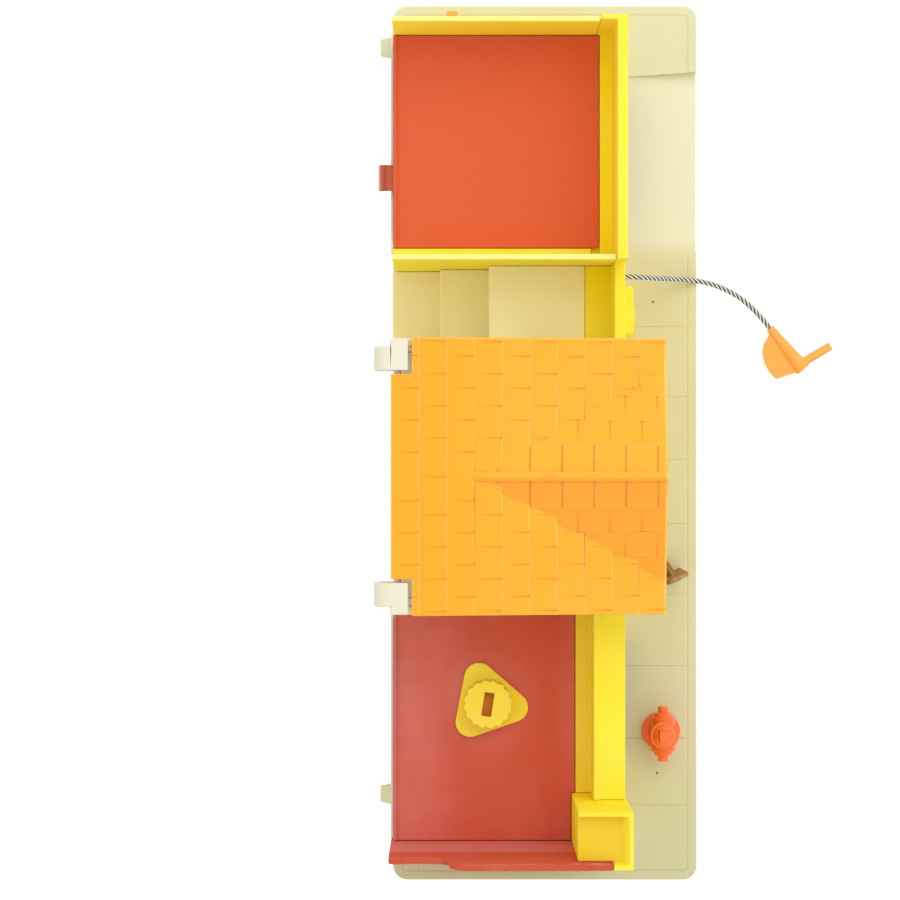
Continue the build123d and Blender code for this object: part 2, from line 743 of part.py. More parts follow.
with BuildPart() as right_deck:
    with BuildSketch(Plane.XY.offset(deck_under)):
        panel(right_deck_left_x, right_deck_right_x, front_inner_y + ledge_width + loose_gap, back_y)
    extrude(amount=deck_thickness)
    rail(right_deck_left_x, right_deck_right_x,
         box_points(back_y - lip_width, back_y, deck_top, deck_top + lip_height))
    tongue_x = right_deck_left_x + tongue_share * (right_deck_right_x - right_deck_left_x)
    tongue_left_x = tongue_x - tongue_width / 2
    rail(tongue_left_x, tongue_left_x + tongue_width,
         box_points(back_y - lip_width, back_y + tongue_length - tongue_bead_radius,
                    deck_top - tongue_thickness, deck_top))
    with BuildSketch(Plane.YZ.offset(tongue_left_x)):
        with Locations((back_y + tongue_length - tongue_bead_radius, deck_top - tongue_bead_radius)):
            Circle(tongue_bead_radius)
    extrude(amount=tongue_width)
save(right_deck, "right_deck")

with BuildPart() as left_deck:
    left_deck_left_x = left_inner_x + loose_gap
    left_deck_right_x = house_left_x - loose_gap
    left_deck_front_y = shop_ledge_y + loose_gap
    with BuildSketch(Plane.XY.offset(deck_under)):
        outline([(tower_right_x + loose_gap, left_deck_front_y), (left_deck_right_x, left_deck_front_y),
                 (left_deck_right_x, back_y), (left_deck_left_x, back_y),
                 (left_deck_left_x, tower_back_y + loose_gap),
                 (tower_right_x + loose_gap, tower_back_y + loose_gap)])
        with Locations((display_x, display_y)):
            Circle(display_shaft_radius + running_gap, mode=Mode.SUBTRACT)
    extrude(amount=deck_thickness)
    rail(left_deck_left_x, left_deck_right_x,
         box_points(back_y - lip_width, back_y, deck_top, deck_top + lip_height))
save(left_deck, "left_deck")

# Shop end wall, high at the front and swept down to a low back with a rounded tip
end_back_top = 152.0
sweep_front_inset = 48.4
sweep_length = 23.2
tip_width = 9.0
tip_rise = 2.0
end_front_y = front_y + tower_shoulder + fit_gap
sweep_front_y = back_y - sweep_front_inset
sweep_back_y = sweep_front_y + sweep_length
end_wall_back_y = half_width

with BuildPart() as left_end_wall:
    with BuildSketch(Plane.YZ.offset(left_end_x)):
        with BuildLine():
            Polyline((end_wall_back_y - tip_width, end_back_top), (sweep_back_y, end_back_top))
            low_sweep = TangentArc((sweep_back_y, end_back_top),
                                   (sweep_back_y - sweep_length / 2, (end_back_top + tower_top) / 2),
                                   tangent=(-1, 0))
            TangentArc(low_sweep @ 1, (sweep_front_y, tower_top), tangent=low_sweep % 1)
            Polyline((sweep_front_y, tower_top), (end_front_y, tower_top), (end_front_y, base_height),
                     (end_wall_back_y, base_height), (end_wall_back_y, end_back_top - tip_rise))
            TangentArc((end_wall_back_y, end_back_top - tip_rise),
                       (end_wall_back_y - tip_width, end_back_top), tangent=(0, 1))
        make_face()
    extrude(amount=left_end_thickness)
    sill(tower_back_y + loose_gap, back_y,
         box_points(left_inner_x, left_inner_x + support_width, ledge_under, deck_under))
    wall_bosses("left_end")
save(left_end_wall, "left_end_wall")

with BuildPart() as corner_tower:
    tower_dish_z = tower_top - tower_dish_depth
    tower_left_x = left_inner_x + fit_gap
    shoulder_y = front_y + tower_shoulder
    with BuildSketch(Plane.XY.offset(base_height)):
        outline([(left_end_x, tower_front_y), (tower_right_x, tower_front_y), (tower_right_x, tower_back_y),
                 (tower_left_x, tower_back_y), (tower_left_x, shoulder_y), (left_end_x, shoulder_y)])
    extrude(amount=tower_top - base_height)
    with BuildSketch(Plane.XY.offset(base_height)):
        panel(tower_left_x + tower_wall, tower_right_x - tower_wall,
              tower_front_y + tower_wall, tower_back_y - tower_wall)
    extrude(amount=tower_dish_z - tower_wall - base_height, mode=Mode.SUBTRACT)
    # Dish in the top, open to the back, with a sloping face behind the front rim
    dish_front_y = tower_front_y + tower_wall
    rail(left_end_x + tower_shoulder_rim, tower_right_x - tower_wall,
         [(dish_front_y, tower_top), (dish_front_y + tower_dish_run, tower_dish_z),
          (tower_back_y + overrun, tower_dish_z), (tower_back_y + overrun, tower_top + overrun),
          (dish_front_y, tower_top + overrun)], mode=Mode.SUBTRACT)
save(corner_tower, "corner_tower")

# Rear doors, each on a pin at its house side, with a glued pull near its free end
right_door_reach = 1.4
door_foot = base_height + seat_gap
door_top = ledge_under - loose_gap
door_inner_y = back_y + fit_gap
door_outer_y = door_inner_y + door_thickness
right_door_free_x = right_end_x + right_door_reach
left_door_free_x = left_inner_x + loose_gap
pull_root_width = 13.0
pull_tip_width = 9.5
pull_length = 7.6
pull_height = 12.0
pull_share = 0.5
right_pull_inset = 7.0
left_pull_inset = 25.3


def rear_door(pin_x, free_x):
    """A thin door with a rolled barrel round its pin."""
    way = 1 if free_x > pin_x else -1
    with BuildPart() as door:
        with BuildSketch(Plane.XY.offset(door_foot)):
            panel(min(pin_x, free_x), max(pin_x, free_x), door_inner_y, door_outer_y)
            panel(min(pin_x, pin_x + way * door_barrel_radius), max(pin_x, pin_x + way * door_barrel_radius),
                  door_pin_y, door_inner_y)
            with Locations((pin_x, door_pin_y)):
                Circle(door_barrel_radius)
                Circle(door_pin_radius + running_gap, mode=Mode.SUBTRACT)
        extrude(amount=door_top - door_foot)
    return door


def door_pull(x):
    """A tapered grip on a door's outer face."""
    foot = door_foot + pull_share * (door_top - door_foot) - pull_height / 2
    with BuildPart() as pull:
        with BuildSketch(Plane.XY.offset(foot)):
            outline([(x - pull_root_width / 2, door_outer_y), (x + pull_root_width / 2, door_outer_y),
                     (x + pull_tip_width / 2, door_outer_y + pull_length),
                     (x - pull_tip_width / 2, door_outer_y + pull_length)])
        extrude(amount=pull_height)
        fillet(pull.edges().group_by(Axis.Y)[-1], wall_edge_radius)
    return pull


def door_pin(x):
    """A straight pin from the paving to the strip under the deck."""
    with BuildPart() as pin:
        with BuildSketch(Plane.XY.offset(base_height - peg_depth)):
            with Locations((x, door_pin_y)):
                Circle(door_pin_radius)
        extrude(amount=deck_under - fit_gap - base_height + peg_depth)
    return pin


save(rear_door(right_pin_x, right_door_free_x), "right_rear_door")
save(rear_door(left_pin_x, left_door_free_x), "left_rear_door")
save(door_pull(right_door_free_x - right_pull_inset), "right_door_pull")
save(door_pull(left_door_free_x + left_pull_inset), "left_door_pull")
save(door_pin(right_pin_x), "right_door_pin")
save(door_pin(left_pin_x), "left_door_pin")

# Turning display: a three-sided column under the shop's deck, turned by a knob above it
plate_corner_radius = 9.7
plate_corner_pitch = 29.9
plate_thickness = 3.0
display_turn = 19.0
knob_radius = 15.8
knob_height = 14.0
knob_lobes = 16
scallop_radius = 2.6
scallop_cut = 1.0
slot_length = 15.6
slot_width = 6.4
slot_depth = 8.0
slot_turn = -9.0
drive_width = 9.0
drive_height = 7.0
column_reach = 30.0
column_corner_radius = 5.0
column_skin = 2.4
picture_width = 38.0
picture_height = 50.0
picture_depth = 0.6
plate_z = deck_top + seat_gap
knob_z = plate_z + plate_thickness
column_foot = base_height + seat_gap
column_top = deck_under - seat_gap


def display_plane(z):
    """A level plane on the display's axis, turned with it."""
    return Plane((display_x, display_y, z), x_dir=(cos(radians(display_turn)), sin(radians(display_turn)), 0))


def rounded_triangle(plane, reach, radius):
    """A triangle with round corners, on the given plane."""
    with BuildSketch(plane) as triangle:
        with PolarLocations(reach, 3):
            Circle(radius)
        make_hull()
    return triangle.sketch


with BuildPart() as display_column:
    extrude(rounded_triangle(display_plane(column_foot), column_reach, column_corner_radius),
            amount=column_top - column_foot)
    extrude(rounded_triangle(display_plane(column_foot), column_reach, column_corner_radius - column_skin),
            amount=column_top - column_foot - column_skin, mode=Mode.SUBTRACT)
    with BuildSketch(display_plane(base_height - peg_depth)):
        Circle(peg_radius)
    extrude(amount=column_top - base_height + peg_depth - column_skin / 2)
    with BuildSketch(display_plane(column_top - column_skin / 2)):
        Circle(display_shaft_radius)
    extrude(amount=plate_z - column_top + column_skin / 2)
    with BuildSketch(display_plane(plate_z)):
        Rectangle(drive_width, drive_width)
    extrude(amount=drive_height)
    for face in range(3):
        angle = radians(display_turn + 60 + face * 120)
        apothem = column_reach / 2 + column_corner_radius
        face_plane = Plane((display_x + apothem * cos(angle), display_y + apothem * sin(angle),
                            (column_foot + column_top) / 2),
                           x_dir=(-sin(angle), cos(angle), 0), z_dir=(cos(angle), sin(angle), 0))
        with BuildSketch(face_plane):
            Rectangle(picture_width, picture_height)
        extrude(amount=-picture_depth, mode=Mode.SUBTRACT)
save(display_column, "display_column")

with BuildPart() as turn_plate:
    extrude(rounded_triangle(display_plane(plate_z), plate_corner_pitch / 3 ** 0.5, plate_corner_radius),
            amount=plate_thickness)
    with BuildSketch(display_plane(plate_z)):
        Rectangle(drive_width + fit_gap, drive_width + fit_gap)
    extrude(amount=plate_thickness, mode=Mode.SUBTRACT)
save(turn_plate, "turn_plate")

with BuildPart() as turn_knob:
    with BuildSketch(display_plane(knob_z)):
        Circle(knob_radius)
        with PolarLocations(knob_radius + scallop_radius - scallop_cut, knob_lobes):
            Circle(scallop_radius, mode=Mode.SUBTRACT)
    extrude(amount=knob_height)
    with BuildSketch(display_plane(knob_z)):
        Rectangle(drive_width + fit_gap, drive_width + fit_gap)
    extrude(amount=drive_height - plate_thickness + fit_gap, mode=Mode.SUBTRACT)
    with BuildSketch(Plane((display_x, display_y, knob_z + knob_height))):
        Rectangle(slot_length, slot_width, rotation=slot_turn)
    extrude(amount=-slot_depth, mode=Mode.SUBTRACT)
save(turn_knob, "turn_knob")

# Hydrant: a turned body with two capped outlets, on a peg in the paving
hydrant_flange_radius = 13.0
hydrant_flange_height = 3.0
hydrant_body_radius = 8.4
hydrant_ring_radius = 9.5
hydrant_ring_foot = 29.0
hydrant_ring_height = 3.0
hydrant_dome_radius = 8.0
hydrant_dome_height = 5.0
hydrant_nut_width = 7.8
hydrant_nut_height = 4.0
outlet_height = 20.0
outlet_flange_radius = 8.1
outlet_flange_reach = 11.6
outlet_radius = 6.2
outlet_reach = 14.2
outlet_cap_radius = 3.5
outlet_cap_reach = 18.6
hydrant_foot = base_height + seat_gap / 3
hydrant_front = Plane((hydrant_x, hydrant_y, hydrant_foot), x_dir=(1, 0, 0), z_dir=(0, -1, 0))

with BuildPart() as hydrant:
    ring_top = hydrant_ring_foot + hydrant_ring_height
    with BuildSketch(hydrant_front):
        with BuildLine():
            Polyline((0, ring_top + hydrant_dome_height), (0, -peg_depth), (peg_radius, -peg_depth),
                     (peg_radius, 0), (hydrant_flange_radius, 0),
                     (hydrant_flange_radius, hydrant_flange_height),
                     (hydrant_body_radius, hydrant_flange_height),
                     (hydrant_body_radius, hydrant_ring_foot), (hydrant_ring_radius, hydrant_ring_foot),
                     (hydrant_ring_radius, ring_top), (hydrant_dome_radius, ring_top))
            TangentArc((0, ring_top + hydrant_dome_height), (hydrant_dome_radius, ring_top), tangent=(1, 0))
        make_face()
    revolve(axis=Axis((hydrant_x, hydrant_y, 0), (0, 0, 1)))
    with BuildSketch(Plane.XY.offset(hydrant_foot + ring_top)):
        with Locations((hydrant_x, hydrant_y)):
            Rectangle(hydrant_nut_width, hydrant_nut_width)
    extrude(amount=hydrant_dome_height + hydrant_nut_height)
    outlet_z = hydrant_foot + outlet_height
    for reach, radius in ((outlet_flange_reach, outlet_flange_radius), (outlet_reach, outlet_radius),
                          (outlet_cap_reach, outlet_cap_radius)):
        with BuildSketch(Plane.YZ.offset(hydrant_x - reach)):
            with Locations((hydrant_y, outlet_z)):
                Circle(radius)
        extrude(amount=2 * reach)
save(hydrant, "hydrant")

# Street sign: a round-topped board with a strut behind it, standing on the paving
sign_side_inset = 17.2
sign_front_inset = 18.0
sign_turn = 25.6
sign_width = 15.6
sign_height = 60.0
sign_thickness = 2.8
strut_reach = 13.0
strut_toe_height = 5.0
strut_height = 44.0
sign_x = house_left_x + sign_side_inset
sign_y = sign_front_inset - half_width
sign_foot = base_height + seat_gap / 3
strut_way = (cos(radians(sign_turn)), sin(radians(sign_turn)), 0)
board_way = (-sin(radians(sign_turn)), cos(radians(sign_turn)), 0)
board_back = (sin(radians(sign_turn)), -cos(radians(sign_turn)), 0)

with BuildPart() as street_sign:
    with BuildSketch(Plane((sign_x, sign_y, sign_foot), x_dir=board_way, z_dir=strut_way)):
        panel(-sign_width / 2, sign_width / 2, 0, sign_height - sign_width / 2)
        with Locations((0, sign_height - sign_width / 2)):
            Circle(sign_width / 2)
    extrude(amount=sign_thickness / 2, both=True)
    with BuildSketch(Plane((sign_x, sign_y, sign_foot), x_dir=strut_way, z_dir=board_back)):
        outline([(0, 0), (strut_reach, 0), (strut_reach, strut_toe_height), (0, strut_height)])
    extrude(amount=sign_thickness / 2, both=True)
save(street_sign, "street_sign")

# Pump on the garage's front: a housing with a turning dial
pump_side_inset = 29.3
pump_width = 33.1
pump_foot = 40.0
pump_height = 36.0
pump_depth = 8.4
pump_skin = 2.0
pump_corner_radius = 4.0
dial_offset = 5.2
dial_radius = 10.8
dial_thickness = 1.2
dial_grip_height = 0.9
dial_grip_width = 3.2
dial_grip_share = 0.86
dial_shaft_radius = 2.5
clip_radius = 4.2
clip_thickness = 1.2
pump_x = cross_x - pump_side_inset
dial_x = pump_x - dial_offset
dial_z = pump_foot + pump_height / 2
pump_front_y = front_y - pump_depth
dial_back_y = pump_front_y - seat_gap
clip_y = pump_front_y + pump_skin + seat_gap

with BuildPart() as pump_housing:
    with BuildSketch(Plane.XZ.offset(-front_y)):
        with Locations((pump_x, dial_z)):
            RectangleRounded(pump_width, pump_height, pump_corner_radius)
    extrude(amount=pump_depth)
    with BuildSketch(Plane.XZ.offset(-front_y)):
        with Locations((pump_x, dial_z)):
            RectangleRounded(pump_width - 2 * pump_skin, pump_height - 2 * pump_skin,
                             pump_corner_radius - pump_skin)
    extrude(amount=pump_depth - pump_skin, mode=Mode.SUBTRACT)
    round_hole(Plane.XZ.offset(-front_y), dial_x, dial_z, dial_shaft_radius + running_gap, pump_depth)
save(pump_housing, "pump_housing")

with BuildPart() as pump_dial:
    with BuildSketch(Plane.XZ.offset(-dial_back_y)):
        with Locations((dial_x, dial_z)):
            Circle(dial_radius)
    extrude(amount=dial_thickness)
    with BuildSketch(Plane.XZ.offset(dial_thickness - dial_back_y)):
        with Locations((dial_x, dial_z)):
            Rectangle(dial_grip_width, 2 * dial_radius * dial_grip_share)
    extrude(amount=dial_grip_height)
    with BuildSketch(Plane.XZ.offset(-clip_y - clip_thickness - fit_gap)):
        with Locations((dial_x, dial_z)):
            Circle(dial_shaft_radius)
    extrude(amount=clip_y + clip_thickness + fit_gap - dial_back_y)
save(pump_dial, "pump_dial")

with BuildPart() as dial_clip:
    with BuildSketch(Plane.XZ.offset(-clip_y - clip_thickness)):
        with Locations((dial_x, dial_z)):
            Circle(clip_radius)
            Circle(dial_shaft_radius + screw_fit, mode=Mode.SUBTRACT)
    extrude(amount=clip_thickness)
save(dial_clip, "dial_clip")

# Knob through the garage's end wall, with a clip inside
wall_knob_radius = 4.4
wall_knob_tip_radius = 3.6
wall_knob_reach = 14.8
wall_clip_x = right_inner_x - seat_gap - clip_thickness

with BuildPart() as wall_knob:
    with BuildSketch(Plane.YZ.offset(wall_clip_x - fit_gap)):
        with Locations((wall_knob_y, wall_knob_height)):
            Circle(wall_knob_shaft_radius)
    extrude(amount=right_end_x + seat_gap - wall_clip_x + fit_gap)
    for radius, x in ((wall_knob_radius, right_end_x + seat_gap),
                      (wall_knob_tip_radius, right_end_x + wall_knob_reach)):
        with BuildSketch(Plane.YZ.offset(x)):
            with Locations((wall_knob_y, wall_knob_height)):
                Circle(radius)
    loft()
save(wall_knob, "wall_knob")

with BuildPart() as wall_knob_clip:
    with BuildSketch(Plane.YZ.offset(wall_clip_x)):
        with Locations((wall_knob_y, wall_knob_height)):
            Circle(clip_radius)
            Circle(wall_knob_shaft_radius + screw_fit, mode=Mode.SUBTRACT)
    extrude(amount=clip_thickness)
save(wall_knob_clip, "wall_knob_clip")

# Pump hose: a cord from a knot behind the front wall, through a grommet, to a nozzle on the floor
rope_radius = 1.85
rope_bore_gap = 0.1
grommet_flange_radius = 4.4
grommet_flange_thickness = 1.2
knot_radius = 4.2
knot_length = 7.0
knot_bevel = 1.5
bend_run_share = 0.45
nozzle_side_offset = 32.4
nozzle_front_offset = 107.6
nozzle_turn = -141.3
nozzle_height = 5.25
nozzle_length = 36.8
nozzle_tail_radius = 2.75
nozzle_nose_radius = 5.25
nozzle_bore_depth = 6.0
guard_depth = 18.5
guard_thickness = 2.4
guard_shares = ((0.08, 0), (0.17, 0.57), (0.46, 0.96), (0.82, 1), (1, 0))
spout_radius = 2.9
spout_length = 25.0
spout_bore_radius = 1.8
spout_bore_depth = 5.0
spout_turn = 82.0
spout_share = 0.88
# Bends of the hose: sideways and forward from its hole, and height above the floor
rope_bends = [(0, 8.7, 50.0), (0, -10.1, 50.0), (-0.5, -26.1, 39.5), (0.1, -39.1, 26.0),
              (-0.1, -52.1, 17.9), (-2.1, -65.4, 12.9), (-6.4, -78.1, 6.6), (-13.1, -89.7, 4.0),
              (-24.1, -101.0, 5.25), (-36.1, -110.6, 5.25)]
rope_points = [(rope_x + side, front_y + out, z) for side, out, z in rope_bends]


def bend_radii(points):
    """As large an arc at each inner point as its two runs allow."""
    radii = []
    for before, here, after in zip(points, points[1:], points[2:]):
        run_in = Vector(*here) - Vector(*before)
        run_out = Vector(*after) - Vector(*here)
        half_turn = radians(run_in.get_angle(run_out)) / 2
        radii.append(bend_run_share * min(run_in.length, run_out.length) / tan(half_turn))
    return radii


with BuildPart() as rope:
    radii = bend_radii(rope_points)
    with BuildLine() as rope_route:
        FilletPolyline(*rope_points, radius=radii)
    with BuildSketch(Plane(rope_route.wire() @ 0, z_dir=rope_route.wire() % 0)):
        Circle(rope_radius)
    sweep()
print("rope bend radii", [round(radius, 1) for radius in radii])
print("rope volume over section times length",
      round(rope.part.volume / (rope_route.wire().length * pi * rope_radius ** 2), 4),
      "length", round(rope_route.wire().length, 1))
save(rope, "rope")

rope_front = Plane((rope_x, front_y, rope_hole_height), x_dir=(1, 0, 0), z_dir=(0, -1, 0))

with BuildPart() as rope_grommet:
    with BuildSketch(Plane.XZ.offset(-front_inner_y - grommet_flange_thickness)):
        with Locations((rope_x, rope_hole_height)):
            Circle(grommet_flange_radius)
    extrude(amount=grommet_flange_thickness)
    with BuildSketch(Plane.XZ.offset(-front_inner_y)):
        with Locations((rope_x, rope_hole_height)):
            Circle(grommet_radius)
    extrude(amount=front_wall_thickness)
    with BuildSketch(rope_front):
        Circle(grommet_flange_radius)
    extrude(amount=grommet_flange_thickness)
    with BuildSketch(Plane.XZ.offset(-front_inner_y - grommet_flange_thickness)):
        with Locations((rope_x, rope_hole_height)):
            Circle(rope_radius + rope_bore_gap)
    extrude(amount=front_wall_thickness + 2 * grommet_flange_thickness, mode=Mode.SUBTRACT)
save(rope_grommet, "rope_grommet")

with BuildPart() as rope_knot:
    with BuildSketch(Plane.XZ.offset(-front_inner_y - grommet_flange_thickness - running_gap)):
        with Locations((rope_x, rope_hole_height)):
            Circle(knot_radius)
    extrude(amount=-knot_length)
    chamfer(rope_knot.edges(), knot_bevel)
save(rope_knot, "rope_knot")

# Nozzle: a tapered body with a thin guard on one side and a spout on the other
nozzle_way = (cos(radians(nozzle_turn)), sin(radians(nozzle_turn)), 0)
nozzle_plane = Plane((rope_x - nozzle_side_offset, front_y - nozzle_front_offset, nozzle_height),
                     x_dir=nozzle_way)
nozzle_tail = Plane(nozzle_plane.origin, x_dir=(0, 0, 1), z_dir=nozzle_way)

with BuildPart() as nozzle:
    for radius, reach in ((nozzle_tail_radius, 0), (nozzle_nose_radius, nozzle_length)):
        with BuildSketch(nozzle_tail.offset(reach)):
            Circle(radius)
    loft()
    with BuildSketch(nozzle_plane.offset(-guard_thickness / 2)):
        with BuildLine():
            root, rise, crown, heel, nose = [(nozzle_length * along, -guard_depth * out)
                                             for along, out in guard_shares]
            Line(root, rise)
            ThreePointArc(rise, crown, heel)
            Polyline(heel, nose, root)
        make_face()
    extrude(amount=guard_thickness)
    spout_root = nozzle_plane.from_local_coords(Vector(nozzle_length * spout_share, 0, 0))
    spout_angle = radians(nozzle_turn + spout_turn)
    spout_plane = Plane(spout_root, z_dir=(cos(spout_angle), sin(spout_angle), 0))
    with BuildSketch(spout_plane):
        Circle(spout_radius)
    extrude(amount=spout_length)
    with BuildSketch(spout_plane.offset(spout_length)):
        Circle(spout_bore_radius)
    extrude(amount=-spout_bore_depth, mode=Mode.SUBTRACT)
    with BuildSketch(nozzle_tail):
        Circle(rope_radius + rope_bore_gap)
    extrude(amount=nozzle_bore_depth, mode=Mode.SUBTRACT)
save(nozzle, "nozzle")
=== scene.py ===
"""Looks of a play street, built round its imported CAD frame: a garage with a lift-out deck, stairs,
a house under a hinged shingled roof and a shop with a turning display, on one paved base.
Lengths are metres. +X is the garage end, -Y is the street."""

import json
from math import cos, pi, radians, sin, tau

import bmesh
import bpy
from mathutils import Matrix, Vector


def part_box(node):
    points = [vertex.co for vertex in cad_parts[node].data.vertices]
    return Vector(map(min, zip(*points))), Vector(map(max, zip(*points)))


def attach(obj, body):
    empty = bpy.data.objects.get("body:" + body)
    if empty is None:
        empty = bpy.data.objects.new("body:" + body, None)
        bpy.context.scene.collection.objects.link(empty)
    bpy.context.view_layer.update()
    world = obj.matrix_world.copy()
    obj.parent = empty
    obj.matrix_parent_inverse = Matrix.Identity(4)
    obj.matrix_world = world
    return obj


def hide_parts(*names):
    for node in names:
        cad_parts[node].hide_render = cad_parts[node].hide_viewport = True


bl_info = {
    "name": "Play Street",
    "version": (1, 0, 0),
    "blender": (4, 5, 0),
    "location": "3D View > Sidebar > Play Street",
    "description": "Dresses the play street's frame piece by piece",
    "category": "Object",
}

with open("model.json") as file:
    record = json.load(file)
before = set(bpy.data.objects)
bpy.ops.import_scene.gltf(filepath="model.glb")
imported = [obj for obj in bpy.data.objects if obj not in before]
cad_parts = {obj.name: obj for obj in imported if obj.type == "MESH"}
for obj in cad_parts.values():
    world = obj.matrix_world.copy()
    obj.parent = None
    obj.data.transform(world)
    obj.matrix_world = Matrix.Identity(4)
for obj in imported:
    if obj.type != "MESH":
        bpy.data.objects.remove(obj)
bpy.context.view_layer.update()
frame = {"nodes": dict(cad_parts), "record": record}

# Body of every frame node, from the imported record
record = frame["record"]
node_bodies = {node: body for body, nodes in record["behaviour"]["bodies"].items() for node in nodes}

# Route of the pump hose, as in the part's source
rope_route = [
    (0.1117, -0.0392, 0.0500), (0.1117, -0.0580, 0.0500), (0.1112, -0.0740, 0.0395),
    (0.1118, -0.0870, 0.0260), (0.1116, -0.1000, 0.0179), (0.1096, -0.1133, 0.0129),
    (0.1053, -0.1260, 0.0066), (0.0986, -0.1376, 0.0040), (0.0876, -0.1489, 0.00525),
    (0.0756, -0.1585, 0.00525),
]
route_steps = 24

# Strands of the hose and its knot
strand_sides = 8
strand_bulge = 1.08
yarn_scale = 1000
knot_thickness_ratio = 0.36
knot_points = 36
knot_reach = 3
knot_smoothness = 3

# Mesh clean-up and rounded edges
weld_distance = 1e-7
flat_angle = radians(0.2)
edge_angle = radians(28)
roof_crease = radians(9)
slender_angle = radians(24)
plate_edge_ratio = 1.6
pump_edge_ratio = 2
fine_segments = 3

# Studio
floor_white = (0.86, 0.86, 0.85, 1)
floor_roughness = 0.9
floor_lift = 0.5
lamp_place = (1.3, -0.7, 1.9)
camera_place = (-0.0049, 0.0652)
camera_reach = 20.0

# Moulded plastic
wear_and_highlight_width = 0.0009
shingle_line_width = 0.0008
dust_scale = 22.0
scuff_scale = 70.0
scuff_paleness = 0.35
peel_share = 0.35
bump_strength = 0.06
bump_depth = 0.0006
plastic_specular = 0.35
wave_roughness = 0.12
scuff_roughness = 0.2
dust_roughness = 0.3
# A slip that the looks were matched with: it is added twice, which caps the roughness of every
# moulded plastic at 1, so that they all render matt. 0 gives each plastic its own roughness.
roughness_lift = 0.5

# Places of painted tones on the pieces. A band is where a tone starts and where it is full.
drive_start_band = (0.122, 0.142)
drive_end_band = (0.262, 0.242)
shop_end_shade_band = (-0.12, -0.30)
paving_spots = ((0.0967, -0.0742, 0.0140), (-0.2266, -0.0769, 0.0140), (0.2402, -0.0899, 0.0110))
spot_radius = 0.0011
front_gold_shade_level = 0.1185
ledge_height_band = (0.112, 0.108)
ledge_length_band = (-0.06, -0.09)
sweep_band = (0.133, 0.130)
roof_back_band = (0.0, 0.08)
smudge_place = (-0.0229, 0.0044, 0.180)
smudge_band = (0.009, 0.003)
display_ring_band = (0.042, 0.022)
street_shade_band = (0.03, -0.03)
slot_band = (0.0108, 0.0084)

# The same, counted from a side or level of the piece that the tone is on
gold_shade_from_level = (0.0, -0.003)
dish_from_top = -0.0035
dish_floor_from_level = (0.0, -0.002)
highlight_from_top = (-0.0014, -0.0005)
slot_floor_from_top = -0.008
slot_from_top = (-0.0006, -0.003)
rim_from_front = (0.0018, 0.0007)
rim_from_side = (-0.0014, -0.0004)
tongue_from_back = (-0.0105, -0.009)
groove_start_from_back = (-0.0062, -0.0048)
groove_end_from_back = (-0.0028, -0.0042)
tongue_rim_from_back = (-0.0018, -0.0006)
haze_from_back = (-0.055, -0.012)
haze_from_front = (0.016, 0.0)


def colour_from(red, green, blue):
    """Linear colour of a picture colour given from 0 to 255."""
    values = [level / 255 for level in (red, green, blue)]
    return tuple(v / 12.92 if v <= 0.04045 else ((v + 0.055) / 1.055) ** 2.4 for v in values)


def length_property(name, description, default):
    """A length that a user may change."""
    return bpy.props.FloatProperty(name=name, description=description, default=default, min=0.0,
                                   precision=5, unit="LENGTH")


def colour_property(name, description, red, green, blue):
    """A colour that a user may change."""
    return bpy.props.FloatVectorProperty(name=name, description=description, subtype="COLOR", size=3,
                                         min=0.0, max=1.0, default=colour_from(red, green, blue))


class StreetSizes(bpy.types.PropertyGroup):
    """Sizes of the dressing"""
    wall_edge: length_property("Wall edge", "Rounding of the edges of walls and decks", 0.0007)
    small_edge: length_property("Small edge", "Rounding of the edges of knobs and small parts", 0.00045)
    shingle_edge: length_property("Shingle edge", "Rounding of the edges of shingles", 0.0003)
    cord_diameter: length_property("Cord diameter", "Thickness of the twisted cord", 0.0037)
    cord_pitch: length_property("Cord pitch", "Length of one full turn of the cord's strands", 0.0116)
    camera_height: length_property("Camera height", "Height of the camera above the floor", 1.764)
    camera_view: length_property("Camera view", "Width that the picture covers at paving level", 0.61785)
    floor_size: length_property("Floor size", "Side of the square floor", 12.0)
    lamp_size: length_property("Lamp size", "Side of the square softbox", 2.0)
    cord_strands: bpy.props.IntProperty(name="Cord strands", description="Strands twisted together",
                                        default=6, min=2)
    lamp_power: bpy.props.FloatProperty(name="Lamp power", description="Power of the softbox",
                                        default=16.0, min=0.0, unit="POWER")
    sky_strength: bpy.props.FloatProperty(name="Sky strength", description="Brightness of the even light",
                                          default=0.92, min=0.0)


